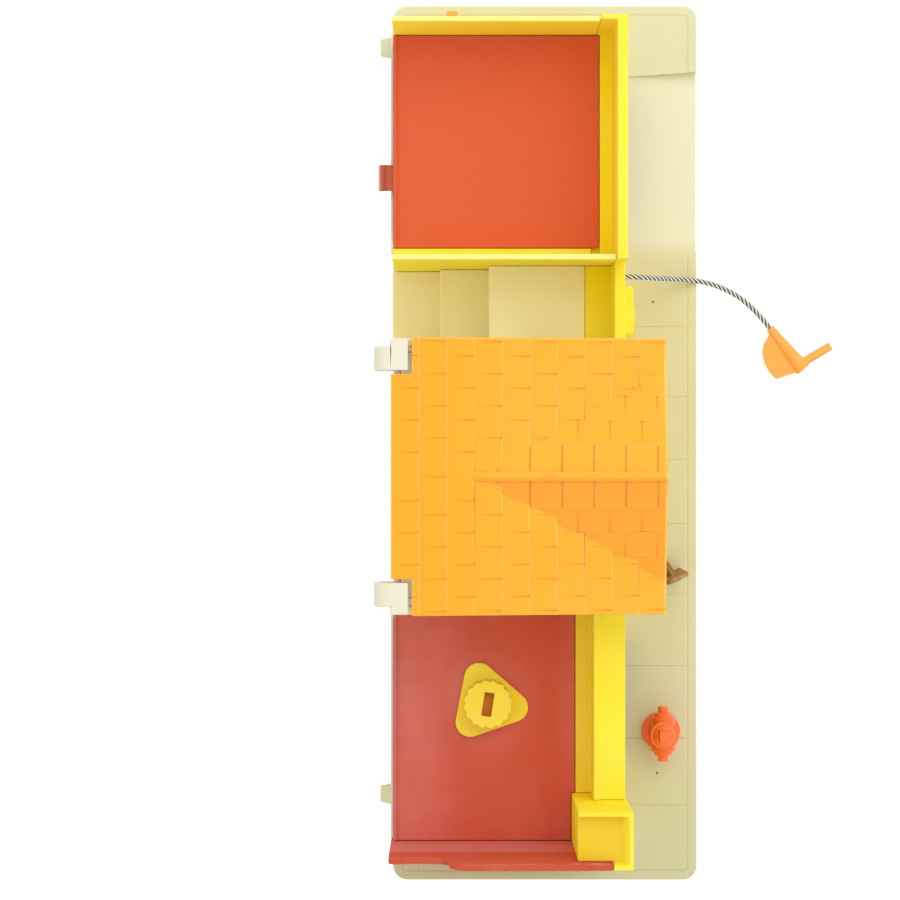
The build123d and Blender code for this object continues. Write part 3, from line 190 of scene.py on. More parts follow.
class StreetColours(bpy.types.PropertyGroup):
    """Colours of the moulded plastics and the cord"""
    paving: colour_property("Paving", "Cream of the base", 226, 222, 184)
    paving_shade: colour_property("Paving shade", "Yellowed cream of the base", 222, 214, 166)
    # Paving end shade: painted shade on the shop's end of the base
    paving_end: colour_property("Paving end", "Dull cream of the shop's end of the base", 204, 202, 158)
    drive: colour_property("Drive", "Paler cream of the drive", 238, 234, 204)
    grit: colour_property("Grit", "Dark grit on the paving", 112, 104, 62)
    steps: colour_property("Steps", "Tan cream of the stairs", 252, 240, 184)
    steps_shade: colour_property("Steps shade", "Yellowed tan of the stairs", 250, 230, 158)
    wall: colour_property("Walls", "Yellow of the walls", 255, 237, 64)
    wall_shade: colour_property("Wall shade", "Deeper yellow of the walls", 254, 226, 44)
    # Wall gold shade: painted shade on the walls' inner faces below their tops
    wall_gold: colour_property("Wall gold", "Golden yellow below the tops of the walls", 255, 232, 28)
    # Wall worn and highlight: pale yellow of rubbed wall edges and of the painted highlight on the walls'
    # edges and tops
    wall_worn: colour_property("Wall worn", "Pale yellow of rubbed wall edges", 255, 250, 176)
    # Dish: painted shade on the floor of the tower's dish
    dish: colour_property("Dish", "Dull gold of the floor of the tower's dish", 238, 206, 42)
    ivory: colour_property("Ivory", "Ivory of the house", 236, 231, 208)
    ivory_shade: colour_property("Ivory shade", "Yellowed ivory of the house", 228, 220, 184)
    roof: colour_property("Roof", "Orange of the roof", 255, 182, 58)
    roof_shade: colour_property("Roof shade", "Deeper orange of the roof", 255, 172, 40)
    # Roof flank shade: painted shade on the dormer's -X side
    roof_flank: colour_property("Roof flank", "Unbleached orange of one side of the dormer", 255, 164, 52)
    # Roof highlight: painted highlight on the shingles' course edges and on the roof's rims
    roof_worn: colour_property("Roof worn", "Pale orange of rubbed shingle edges", 255, 216, 118)
    roof_joint: colour_property("Roof joint", "Brownish orange of the shingles' joints", 232, 148, 44)
    garage_deck: colour_property("Garage deck", "Red of the garage's deck", 222, 98, 60)
    shop_deck: colour_property("Shop deck", "Red of the shop's deck", 208, 90, 64)
    end_wall: colour_property("End wall", "Red of the shop's end wall", 200, 76, 44)
    # Haze and sheen: pinkish haze on the red plastic, partly painted sheen
    haze: colour_property("Haze", "Pinkish haze on worn red plastic", 218, 126, 118)
    # Tongue red: the duller red of the deck's tongue
    worn_red: colour_property("Worn red", "Dull red of the deck's tongue", 160, 90, 74)
    groove: colour_property("Groove", "Dark red of the groove in the tongue", 150, 54, 40)
    display: colour_property("Display", "Yellow of the display's knob and plate", 248, 222, 60)
    # Grime and shade: brown grime of the roof's smudge, and painted shade inside the knob's slot
    grime: colour_property("Grime", "Brown grime in the knob's slot", 226, 150, 56)
    hydrant: colour_property("Hydrant", "Orange of the hydrant", 255, 120, 54)
    nozzle: colour_property("Nozzle", "Pale orange of the nozzle", 255, 178, 92)
    sign: colour_property("Sign", "Brown of the street sign", 190, 138, 84)
    sign_streak: colour_property("Sign streak", "Dark streaks of the street sign", 128, 84, 46)
    panel: colour_property("Panel", "White of the doors and the display", 244, 244, 238)
    board: colour_property("Board", "Brown of the base board", 150, 118, 82)
    board_fibre: colour_property("Board fibre", "Dark fibres of the base board", 112, 84, 54)
    steel: colour_property("Steel", "Grey of pins and screws", 186, 188, 190)
    steel_shade: colour_property("Steel shade", "Darker lines of drawn steel", 140, 140, 138)
    cord_dark: colour_property("Cord dark", "Navy of the cord", 78, 90, 122)
    cord_light: colour_property("Cord light", "White of the cord", 245, 245, 226)
    dust: colour_property("Dust", "Pale dust and scuffs", 240, 234, 216)


def palette():
    """The scene's colours."""
    return bpy.context.scene.street_colours


# Shader nodes


def add_node(tree, kind, inputs=None, **settings):
    """Add a shader node, set it, and fill or link its inputs by name or number."""
    made = tree.nodes.new(kind)
    for name, value in settings.items():
        setattr(made, name, value)
    for name, value in (inputs or {}).items():
        if isinstance(value, bpy.types.NodeSocket):
            tree.links.new(value, made.inputs[name])
        elif made.inputs[name].type == "RGBA":
            made.inputs[name].default_value = (*value[:3], 1.0)
        else:
            made.inputs[name].default_value = value
    return made


def blend_colours(tree, factor, first, second):
    """Colour between first and second, by a factor from 0 to 1."""
    mixed = add_node(tree, "ShaderNodeMix", {0: factor, 6: first, 7: second}, data_type="RGBA")
    return mixed.outputs[2]


def figure(tree, operation, *values):
    """Result of one sum on numbers."""
    return add_node(tree, "ShaderNodeMath", dict(enumerate(values)), operation=operation).outputs[0]


def product(tree, first, *others):
    """Product of two or more numbers."""
    for other in others:
        first = figure(tree, "MULTIPLY", first, other)
    return first


def vector_figure(tree, operation, *vectors):
    """Result of one sum on vectors, which is a number for some sums."""
    made = add_node(tree, "ShaderNodeVectorMath", dict(enumerate(vectors)), operation=operation)
    gives_number = operation in ("DISTANCE", "DOT_PRODUCT", "LENGTH")
    return made.outputs["Value" if gives_number else "Vector"]


def ramp(tree, value, band, to_low=0.0, to_high=1.0):
    """Number that goes smoothly from one level to another as a value crosses a band."""
    spread = add_node(tree, "ShaderNodeMapRange",
                      {"Value": value, "From Min": band[0], "From Max": band[1],
                       "To Min": to_low, "To Max": to_high}, interpolation_type="SMOOTHSTEP")
    return spread.outputs["Result"]


def band_at(level, steps):
    """Band whose ends are given as steps from a level."""
    return [level + step for step in steps]


def noise_value(tree, place, scale, detail):
    """Soft noise from 0 to 1."""
    noise = add_node(tree, "ShaderNodeTexNoise", {"Vector": place, "Scale": scale, "Detail": detail})
    return noise.outputs["Fac"]


def piece_place(tree):
    """Place on the piece, which stays with it when it moves."""
    return add_node(tree, "ShaderNodeTexCoord").outputs["Object"]


def place_part(tree, axis):
    """Place on the piece along one axis."""
    return add_node(tree, "ShaderNodeSeparateXYZ", {0: piece_place(tree)}).outputs[axis]


def normal_part(tree, axis):
    """One part of the normal as seen by the piece, which stays with it when it moves."""
    lean = add_node(tree, "ShaderNodeTexCoord").outputs["Normal"]
    return add_node(tree, "ShaderNodeSeparateXYZ", {0: lean}).outputs[axis]


def distance_from(tree, centre):
    """Distance from a point to the place on the piece."""
    return vector_figure(tree, "DISTANCE", piece_place(tree), centre)


def stretched_place(tree, scale, turn=0.0):
    """Place on the piece, turned about Z and stretched, for streaks and scratches."""
    mapping = add_node(tree, "ShaderNodeMapping",
                       {"Vector": piece_place(tree), "Rotation": (0, 0, turn), "Scale": scale})
    return mapping.outputs["Vector"]


def rounded_and_true(tree, width, samples):
    """Normal rounded over a width, and the true one: they differ near edges."""
    rounded = add_node(tree, "ShaderNodeBevel", {"Radius": width}, samples=samples).outputs["Normal"]
    return rounded, add_node(tree, "ShaderNodeNewGeometry").outputs["True Normal"]


# Shared effects


def new_group(name, inputs, outputs):
    """A shader node group and its two ends. Sockets called Colour or Shade hold colours, others numbers."""
    tree = bpy.data.node_groups.new(name, "ShaderNodeTree")
    for sockets, way in ((inputs, "INPUT"), (outputs, "OUTPUT")):
        for socket in sockets:
            kind = "Color" if socket.endswith(("Colour", "Shade")) else "Float"
            tree.interface.new_socket(name=socket, in_out=way, socket_type=f"NodeSocket{kind}")
    return tree, tree.nodes.new("NodeGroupInput").outputs, tree.nodes.new("NodeGroupOutput").inputs


def moulded_tone_group():
    """Clouded colour, flow marks and orange peel of moulded plastic."""
    tree, given, result = new_group(
        "Moulded Tone", ("Colour", "Shade", "Cloud Scale", "Cloud Amount"),
        ("Colour", "Roughness Shift", "Height"))
    place = piece_place(tree)
    clouds = ramp(tree, noise_value(tree, place, given["Cloud Scale"], detail=3.0), band=(0.36, 0.66))
    amount = product(tree, clouds, given["Cloud Amount"])
    tree.links.new(blend_colours(tree, amount, given["Colour"], given["Shade"]), result["Colour"])
    peel = noise_value(tree, place, scale=650.0, detail=2.0)
    waves = noise_value(tree, place, scale=60.0, detail=1.0)
    shift = figure(tree, "MULTIPLY_ADD", waves, wave_roughness, roughness_lift)
    tree.links.new(shift, result["Roughness Shift"])
    tree.links.new(figure(tree, "ADD", product(tree, peel, peel_share), waves), result["Height"])
    return tree


def edge_wear_group():
    """Pale edges, found where a rounded normal leaves the true one: rubbed wear, and a painted highlight on
    the rounded edges.
    """
    tree, given, result = new_group(
        "Edge Wear", ("Colour", "Worn And Highlight Colour", "Width", "Amount", "Cover"), ("Colour",))
    alike = vector_figure(tree, "DOT_PRODUCT", *rounded_and_true(tree, given["Width"], samples=4))
    edge = ramp(tree, figure(tree, "SUBTRACT", 1.0, alike), band=(0.02, 0.22))
    patches = ramp(tree, noise_value(tree, piece_place(tree), scale=95.0, detail=4.0), band=(0.38, 0.62))
    patches = figure(tree, "MAXIMUM", patches, given["Cover"])
    mask = product(tree, edge, patches, given["Amount"])
    tree.links.new(blend_colours(tree, mask, given["Colour"], given["Worn And Highlight Colour"]), result["Colour"])
    return tree


def shingle_lines_group():
    """Painted highlight along the courses of a roof, and darker joints between its shingles."""
    tree, given, result = new_group(
        "Shingle Lines", ("Colour", "Edge Colour", "Joint Colour", "Width"), ("Colour",))
    turn = vector_figure(tree, "SUBTRACT", *rounded_and_true(tree, given["Width"], samples=6))
    along_ridge, across_ridge = (
        vector_figure(tree, "LENGTH", vector_figure(tree, "MULTIPLY", turn, share))
        for share in ((1.0, 0.0, 0.0), (0.0, 1.0, 1.0)))
    dormer = ramp(tree, figure(tree, "ABSOLUTE", normal_part(tree, "X")), band=(0.10, 0.14))
    main = figure(tree, "SUBTRACT", 1.0, dormer)
    course = figure(tree, "ADD", product(tree, main, across_ridge), product(tree, dormer, along_ridge))
    joint = figure(tree, "ADD", product(tree, main, along_ridge), product(tree, dormer, across_ridge))
    # Painted highlight along the course edges; the joints are darker
    pale = ramp(tree, course, band=(0.03, 0.25), to_high=0.8)
    dark = ramp(tree, joint, band=(0.06, 0.35), to_high=0.6)
    shown = blend_colours(tree, pale, given["Colour"], given["Edge Colour"])
    tree.links.new(blend_colours(tree, dark, shown, given["Joint Colour"]), result["Colour"])
    return tree


def settled_dust_group():
    """Thin dust that lies in patches on faces that look up."""
    tree, given, result = new_group(
        "Settled Dust", ("Colour", "Dust Colour", "Scale", "Amount"), ("Colour", "Mask"))
    facing = ramp(tree, normal_part(tree, "Z"), band=(0.6, 0.95))
    patches = noise_value(tree, piece_place(tree), given["Scale"], detail=5.0)
    mask = product(tree, facing, ramp(tree, patches, band=(0.42, 0.72)), given["Amount"])
    tree.links.new(blend_colours(tree, mask, given["Colour"], given["Dust Colour"]), result["Colour"])
    tree.links.new(mask, result["Mask"])
    return tree


def specks_group():
    """Small separate specks, one in some of the cells of a grid."""
    tree, given, result = new_group(
        "Specks", ("Colour", "Speck Colour", "Scale", "Size", "Share"), ("Colour",))
    cells = add_node(tree, "ShaderNodeTexVoronoi", {"Vector": piece_place(tree), "Scale": given["Scale"]})
    near = figure(tree, "LESS_THAN", cells.outputs["Distance"], given["Size"])
    chance = add_node(tree, "ShaderNodeSeparateColor", {0: cells.outputs["Color"]}).outputs["Red"]
    mask = product(tree, near, figure(tree, "LESS_THAN", chance, given["Share"]))
    tree.links.new(blend_colours(tree, mask, given["Colour"], given["Speck Colour"]), result["Colour"])
    return tree


def scuffs_group():
    """Fine scratches in two directions."""
    tree, given, result = new_group("Scuffs", ("Scale", "Amount"), ("Mask",))
    strokes = []
    for turn, stretch in ((0.5, (1.0, 22.0, 1.0)), (-0.9, (24.0, 1.0, 1.0))):
        fine = noise_value(tree, stretched_place(tree, stretch, turn), given["Scale"], detail=2.0)
        strokes.append(ramp(tree, fine, band=(0.70, 0.74)))
    patches = ramp(tree, noise_value(tree, piece_place(tree), scale=18.0, detail=2.0), band=(0.45, 0.65))
    mask = product(tree, figure(tree, "MAXIMUM", *strokes), patches, given["Amount"])
    tree.links.new(mask, result["Mask"])
    return tree


def effect(tree, make, inputs):
    """Place a shared effect in a material; its group is built the first time that it is asked for."""
    name = make.__name__.removesuffix("_group").replace("_", " ").title()
    group = bpy.data.node_groups.get(name) or make()
    return add_node(tree, "ShaderNodeGroup", inputs, node_tree=group).outputs


# Tones painted on single pieces


def paving_tint(tree, colour):
    """Paler cream on the drive, painted shade as duller cream at the shop's end, and the dark marks."""
    colours = palette()
    along = place_part(tree, "X")
    drive = product(tree, ramp(tree, along, drive_start_band), ramp(tree, along, drive_end_band))
    shown = blend_colours(tree, drive, colour, colours.drive)
    # Painted shade at the shop's end of the base
    shown = blend_colours(tree, ramp(tree, along, shop_end_shade_band, to_high=0.9), shown, colours.paving_end)
    for spot in paving_spots:
        near = ramp(tree, distance_from(tree, spot), (spot_radius, spot_radius / 2))
        shown = blend_colours(tree, near, shown, colours.grit)
    return shown


def facing_up(tree):
    """1 on faces that look up, 0 on upright ones."""
    return ramp(tree, normal_part(tree, "Z"), band=(0.6, 0.9))


def gold_below(tree, colour, level):
    """Painted shade: deeper gold below the paler top of a wall, except on its street side."""
    low = ramp(tree, place_part(tree, "Z"), band_at(level, gold_shade_from_level))
    inner = ramp(tree, normal_part(tree, "Y"), band=(-0.7, -0.4))
    return blend_colours(tree, product(tree, low, inner), colour, palette().wall_gold)


def front_tint(tree, colour):
    """Painted gold shade below the top of the low front wall, and a duller yellow on the ledge behind the
    shop's front.
    """
    low = ramp(tree, place_part(tree, "Z"), ledge_height_band)
    shop = ramp(tree, place_part(tree, "X"), ledge_length_band)
    ledge = product(tree, facing_up(tree), low, shop)
    return blend_colours(tree, ledge, gold_below(tree, colour, front_gold_shade_level), palette().display)


def tower_tint(tree, colour):
    """Painted gold shade below the rims of the tower's dish, and painted shade, a dull gold, on its floor.
    """
    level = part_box("corner_tower")[1].z + dish_from_top
    low = ramp(tree, place_part(tree, "Z"), band_at(level, dish_floor_from_level))
    floor = product(tree, facing_up(tree), low)
    return blend_colours(tree, floor, gold_below(tree, colour, level), palette().dish)


def bleached_top(tree, colour):
    """Painted highlight: pale top of the garage's thin walls."""
    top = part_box("right_end_wall")[1].z
    # Painted highlight on the top
    mask = ramp(tree, place_part(tree, "Z"), band_at(top, highlight_from_top), to_high=0.55)
    return blend_colours(tree, mask, colour, palette().wall_worn)


def slot_tint(tree, colour):
    """Painted shade inside the knob's slot, a brown darkening."""
    low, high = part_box("turn_knob")
    floor = Vector(((low.x + high.x) / 2, (low.y + high.y) / 2, high.z + slot_floor_from_top))
    near = ramp(tree, distance_from(tree, floor), slot_band)
    inside = ramp(tree, place_part(tree, "Z"), band_at(high.z, slot_from_top))
    # Painted shade in the slot
    return blend_colours(tree, product(tree, near, inside), colour, palette().grime)


def roof_tint(tree, colour):
    """Deeper orange at the back, painted shade on the dormer's -X side, a smudge, painted highlight on the
    rims at the front and at the garage's side, and the lines of the shingles."""
    colours = palette()
    across = place_part(tree, "Y")
    low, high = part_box("roof")
    shown = blend_colours(tree, ramp(tree, across, roof_back_band, to_high=0.7), colour, colours.roof_shade)
    # Painted shade on the dormer's -X side
    flank = ramp(tree, normal_part(tree, "X"), band=(-0.1, -0.2))
    shown = blend_colours(tree, flank, shown, colours.roof_flank)
    smudge = ramp(tree, distance_from(tree, smudge_place), smudge_band, to_high=0.3)
    shown = blend_colours(tree, smudge, shown, colours.grime)
    # Painted highlight on the rims at the front and at the garage's side, strongest on faces that look up
    front = ramp(tree, across, band_at(low.y, rim_from_front))
    side = ramp(tree, place_part(tree, "X"), band_at(high.x, rim_from_side), to_high=0.6)
    facing = ramp(tree, normal_part(tree, "Z"), band=(0.3, 0.7), to_high=0.65)
    rim = product(tree, figure(tree, "MAXIMUM", front, side), facing)
    shown = blend_colours(tree, rim, shown, colours.roof_worn)
    return effect(tree, shingle_lines_group,
                  {"Colour": shown, "Edge Colour": colours.roof_worn, "Joint Colour": colours.roof_joint,
                   "Width": shingle_line_width})["Colour"]


def tongue_tint(tree, colour):
    """Duller red on the tongue behind the deck, with a darker groove and a pale rim."""
    colours = palette()
    across = place_part(tree, "Y")
    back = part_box("right_deck")[1].y
    dull = ramp(tree, across, band_at(back, tongue_from_back), to_high=0.6)
    groove = product(tree, ramp(tree, across, band_at(back, groove_start_from_back)),
                     ramp(tree, across, band_at(back, groove_end_from_back), to_high=0.5))
    rim = ramp(tree, across, band_at(back, tongue_rim_from_back), to_high=0.5)
    shown = blend_colours(tree, dull, colour, colours.worn_red)
    shown = blend_colours(tree, groove, shown, colours.groove)
    return blend_colours(tree, rim, shown, colours.dust)


def shop_deck_tint(tree, colour):
    """Painted shade as deeper red towards the street, and pinkish haze, partly painted sheen, along two
    edges and round the display.
    """
    colours = palette()
    across = place_part(tree, "Y")
    low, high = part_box("left_deck")
    back = ramp(tree, across, band_at(high.y, haze_from_back))
    front = ramp(tree, across, band_at(low.y, haze_from_front), to_high=0.5)
    knob_low, knob_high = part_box("turn_knob")
    centre = (knob_low + knob_high) / 2
    ring = ramp(tree, distance_from(tree, centre), display_ring_band, to_high=0.8)
    spread = figure(tree, "MAXIMUM", figure(tree, "MAXIMUM", back, front), ring)
    patches = ramp(tree, noise_value(tree, piece_place(tree), scale=20.0, detail=5.0),
                   band=(0.34, 0.68), to_low=0.5)
    # Painted shade: deeper red towards the street
    deep = ramp(tree, across, street_shade_band, to_high=0.5)
    shown = blend_colours(tree, deep, colour, colours.end_wall)
    # Pinkish haze, partly painted sheen
    return blend_colours(tree, product(tree, spread, patches, 0.75), shown, colours.haze)


def end_wall_tint(tree, colour):
    """Dull, pinkish band on the wall's inner side up to the height of the sweep."""
    low = ramp(tree, place_part(tree, "Z"), sweep_band, to_high=0.6)
    inner = ramp(tree, normal_part(tree, "X"), band=(0.3, 0.7))
    return blend_colours(tree, product(tree, low, inner), colour, palette().haze)


def sign_grain(tree, colour):
    """Streaks along the board."""
    streaks = noise_value(tree, stretched_place(tree, (1.0, 1.0, 0.12)), scale=480.0, detail=4.0)
    mask = product(tree, ramp(tree, streaks, band=(0.4, 0.62)), 0.55)
    return blend_colours(tree, mask, colour, palette().sign_streak)


def board_grain(tree, colour):
    """Fibres of pressed board."""
    fibres = noise_value(tree, piece_place(tree), scale=420.0, detail=6.0)
    mask = product(tree, ramp(tree, fibres, band=(0.35, 0.7)), 0.6)
    return blend_colours(tree, mask, colour, palette().board_fibre)


# Materials


def new_material(name):
    """A material with one Principled BSDF, and its node tree."""
    material = bpy.data.materials.new(name)
    material.use_nodes = True
    return material, material.node_tree, material.node_tree.nodes["Principled BSDF"]


def moulded_plastic(name, colour, shade, roughness, clouds=(14.0, 0.6), wear_and_highlight=0.35, worn_and_highlight_colour="dust",
                    cover=0.0, dust=0.2, specks=None, scuffs=0.25, tint=None):
    """Injection-moulded plastic with clouded colour, pale edges of rubbed wear and painted highlight, dust,
    specks and fine scratches.
    """
    material, tree, surface = new_material(name)
    colours = palette()
    tone = effect(tree, moulded_tone_group,
                  {"Colour": getattr(colours, colour), "Shade": getattr(colours, shade),
                   "Cloud Scale": clouds[0], "Cloud Amount": clouds[1]})
    shown = tone["Colour"]
    if tint:
        shown = tint(tree, shown)
    if wear_and_highlight:
        shown = effect(tree, edge_wear_group,
                       {"Colour": shown, "Worn And Highlight Colour": getattr(colours, worn_and_highlight_colour),
                        "Width": wear_and_highlight_width, "Amount": wear_and_highlight, "Cover": cover})["Colour"]
    dusty = effect(tree, settled_dust_group,
                   {"Colour": shown, "Dust Colour": colours.dust, "Scale": dust_scale, "Amount": dust})
    shown = dusty["Colour"]
    if specks:
        speck_colour, scale, size, share = specks
        shown = effect(tree, specks_group,
                       {"Colour": shown, "Speck Colour": getattr(colours, speck_colour),
                        "Scale": scale, "Size": size, "Share": share})["Colour"]
    marks = effect(tree, scuffs_group, {"Scale": scuff_scale, "Amount": scuffs})["Mask"]
    shown = blend_colours(tree, product(tree, marks, scuff_paleness), shown, colours.dust)
    tree.links.new(shown, surface.inputs["Base Color"])
    rough = figure(tree, "MULTIPLY_ADD", marks, scuff_roughness, roughness_lift)
    rough = figure(tree, "ADD", rough, tone["Roughness Shift"])
    rough = figure(tree, "ADD", rough, product(tree, dusty["Mask"], dust_roughness))
    tree.links.new(figure(tree, "ADD", rough, roughness), surface.inputs["Roughness"])
    bump = add_node(tree, "ShaderNodeBump",
                    {"Height": tone["Height"], "Strength": bump_strength, "Distance": bump_depth})
    tree.links.new(bump.outputs["Normal"], surface.inputs["Normal"])
    surface.inputs["Specular IOR Level"].default_value = plastic_specular
    return material


def steel_finish(name):
    """Drawn steel of screws, pins and clips."""
    material, tree, surface = new_material(name)
    colours = palette()
    lines = noise_value(tree, stretched_place(tree, (1.0, 1.0, 0.05)), scale=900.0, detail=3.0)
    stained = blend_colours(tree, ramp(tree, lines, band=(0.3, 0.8)), colours.steel, colours.steel_shade)
    tree.links.new(stained, surface.inputs["Base Color"])
    rough = ramp(tree, lines, band=(0.2, 0.8), to_low=0.25, to_high=0.45)
    tree.links.new(rough, surface.inputs["Roughness"])
    surface.inputs["Metallic"].default_value = 1.0
    return material


def cord_finish(name):
    """Spun yarn of one strand, its fibres running round the strand."""
    material, tree, surface = new_material(name)
    colours = palette()
    colour = getattr(colours, name)
    along = add_node(tree, "ShaderNodeUVMap").outputs["UV"]
    fibre = add_node(tree, "ShaderNodeTexWave",
                     {"Vector": along, "Scale": 0.9, "Distortion": 2.2, "Detail": 2.0},
                     bands_direction="DIAGONAL").outputs["Fac"]
    fuzz = noise_value(tree, piece_place(tree), scale=2600.0, detail=3.0)
    shade = blend_colours(tree, ramp(tree, fuzz, band=(0.25, 0.8), to_high=0.35), colour, colours.board)
    deep = blend_colours(tree, product(tree, fibre, 0.3), colour, shade)
    tree.links.new(deep, surface.inputs["Base Color"])
    surface.inputs["Roughness"].default_value = 0.85
    surface.inputs["Sheen Weight"].default_value = 0.3
    bump = add_node(tree, "ShaderNodeBump", {"Height": figure(tree, "ADD", fibre, fuzz),
                                             "Strength": 0.5, "Distance": 0.0001})
    tree.links.new(bump.outputs["Normal"], surface.inputs["Normal"])
    return material


# What each plastic is given, where it differs from the defaults of moulded_plastic. Colours are named
# as in StreetColours, clouds are scale and amount, and specks are colour, scale, size and share.
# The walls' pale edges, strong and widely spread, are a painted highlight along them as well as rubbed wear
glossy_wall = dict(colour="wall", shade="wall_shade", roughness=0.32, wear_and_highlight=0.8, worn_and_highlight_colour="wall_worn",
                   cover=0.5, dust=0.05, scuffs=0.12)
soft_yellow = dict(colour="display", shade="wall_shade", roughness=0.36, clouds=(40.0, 0.3), wear_and_highlight=0.3,
                   dust=0.1)
plastics = {
    "paving_cream": dict(
        colour="paving", shade="paving_shade", roughness=0.5, clouds=(7.0, 0.8), wear_and_highlight=0.7,
        worn_and_highlight_colour="drive", cover=0.7, dust=0.12, specks=("grit", 24.0, 0.028, 0.08), tint=paving_tint),
    "pull_cream": dict(colour="paving", shade="paving_shade", roughness=0.45),
    "steps_tan": dict(
        colour="steps", shade="steps_shade", roughness=0.45, clouds=(9.0, 0.6), wear_and_highlight=0.3,
        specks=("dust", 90.0, 0.05, 0.04)),
    "wall_yellow": dict(glossy_wall, tint=front_tint),
    "thin_wall_yellow": dict(glossy_wall, tint=bleached_top),
    "tower_yellow": dict(glossy_wall, tint=tower_tint),
    "pump_yellow": glossy_wall,
    "display_yellow": soft_yellow,
    "knob_yellow": dict(soft_yellow, tint=slot_tint),
    "house_ivory": dict(
        colour="ivory", shade="ivory_shade", roughness=0.36, wear_and_highlight=0.1, specks=("sign", 60.0, 0.04, 0.03)),
    "roof_orange": dict(
        colour="roof", shade="roof_shade", roughness=0.42, clouds=(11.0, 0.5), wear_and_highlight=0.0, dust=0.0,
        scuffs=0.1, tint=roof_tint),
    "garage_deck_red": dict(
        colour="garage_deck", shade="shop_deck", roughness=0.42, clouds=(6.0, 0.1), wear_and_highlight=0.2, dust=0.0,
        specks=("dust", 55.0, 0.03, 0.04), tint=tongue_tint),
    "shop_deck_red": dict(
        colour="shop_deck", shade="end_wall", roughness=0.44, clouds=(8.0, 0.25), wear_and_highlight=0.25, dust=0.03,
        specks=("dust", 60.0, 0.03, 0.05), tint=shop_deck_tint),
    "end_wall_red": dict(
        colour="end_wall", shade="shop_deck", roughness=0.4, wear_and_highlight=0.3, dust=0.08, tint=end_wall_tint),
    "hydrant_orange": dict(
        colour="hydrant", shade="garage_deck", roughness=0.34, clouds=(60.0, 0.25), wear_and_highlight=0.3, dust=0.12),
    "nozzle_orange": dict(
        colour="nozzle", shade="roof", roughness=0.4, clouds=(50.0, 0.4), wear_and_highlight=0.2, dust=0.05),
    "sign_brown": dict(
        colour="sign", shade="board", roughness=0.55, clouds=(80.0, 0.6), tint=sign_grain),
    "panel_white": dict(colour="panel", shade="ivory", roughness=0.5, clouds=(14.0, 0.5), wear_and_highlight=0.1),
    "base_board": dict(
        colour="board", shade="sign", roughness=0.75, clouds=(30.0, 0.6), dust=0.0, tint=board_grain),
}
other_finishes = {"pin_steel": steel_finish, "cord_dark": cord_finish, "cord_light": cord_finish}


def finish_named(name):
    """The material of that name, made the first time that it is asked for."""
    made = bpy.data.materials.get(name)
    if made:
        return made
    if name in plastics:
        return moulded_plastic(name, **plastics[name])
    return other_finishes[name](name)


# Pieces


def stands_for(piece, node):
    """Let a piece take the place and the body of a frame node, whose own shape is hidden."""
    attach(piece, node_bodies[node])
    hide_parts(node)


def new_piece(name, shape):
    """A scene object made from a finished bmesh, shaded smooth."""
    mesh = bpy.data.meshes.new(name)
    shape.to_mesh(mesh)
    shape.free()
    carried = mesh.attributes.get("custom_normal")
    if carried:
        mesh.attributes.remove(carried)
    mesh.shade_smooth()
    piece = bpy.data.objects.new(name, mesh)
    bpy.context.scene.collection.objects.link(piece)
    return piece


def mark_edges(shape, crease):
    """Mark the sharp edges to be rounded, and keep those hard that run into a slender corner."""
    marks = shape.edges.layers.float.new("bevel_weight_edge")
    for edge in shape.edges:
        turn = edge.calc_face_angle(0.0)
        if turn < crease:
            continue
        corners = [loop.calc_angle() for start in edge.link_loops for loop in (start, start.link_loop_next)]
        if turn > edge_angle and min(corners) > slender_angle:
            edge[marks] = 1.0
        else:
            edge.smooth = False


def round_edges(piece, radius, segments):
    """Round a piece's marked edges and keep its flat faces flat."""
    rounding = piece.modifiers.new("Rounded edges", "BEVEL")
    rounding.width = radius
    rounding.segments = segments
    rounding.limit_method = "WEIGHT"
    rounding.use_clamp_overlap = False
    rounding.harden_normals = True
    rounding.miter_outer = "MITER_ARC"


def moulded(node, name, finish, edge="small_edge", ratio=1, segments=2, crease=edge_angle):
    """A node's own shape with its edges rounded, as a mould leaves them, by a ratio of a named size."""
    shape = bmesh.new()
    shape.from_mesh(frame["nodes"][node].data)
    bmesh.ops.remove_doubles(shape, verts=shape.verts, dist=weld_distance)
    bmesh.ops.dissolve_limit(shape, angle_limit=flat_angle, verts=shape.verts, edges=shape.edges)
    mark_edges(shape, crease)
    piece = new_piece(name, shape)
    piece.data.materials.clear()
    piece.data.materials.append(finish_named(finish))
    round_edges(piece, getattr(bpy.context.scene.street_sizes, edge) * ratio, segments)
    stands_for(piece, node)
    return piece


def keep_node(node, finish="pin_steel"):
    """Leave a node's shape as it is and give it a finish."""
    for slot in frame["nodes"][node].material_slots:
        slot.material = finish_named(finish)


def curve_mesh(name, places, closed=False, **settings):
    """Mesh of a smooth curve that the given places control."""
    curve = bpy.data.curves.new(name, "CURVE")
    curve.dimensions = "3D"
    for setting, value in settings.items():
        setattr(curve, setting, value)
    spline = curve.splines.new("NURBS")
    spline.points.add(len(places) - 1)
    for point, place in zip(spline.points, places):
        point.co = (*place, 1.0)
    spline.order_u = 3
    if closed:
        spline.use_cyclic_u = True
    else:
        spline.use_endpoint_u = True
    carrier = bpy.data.objects.new(name, curve)
    mesh = bpy.data.meshes.new_from_object(carrier)
    bpy.data.objects.remove(carrier)
    return mesh


def background_rays(tree):
    """1 for rays that look at the background, directly or in a reflection, and 0 for light."""
    rays = add_node(tree, "ShaderNodeLightPath").outputs
    seen = figure(tree, "MAXIMUM", rays["Is Camera Ray"], rays["Is Glossy Ray"])
    return figure(tree, "MAXIMUM", seen, rays["Is Transmission Ray"])


# Steps


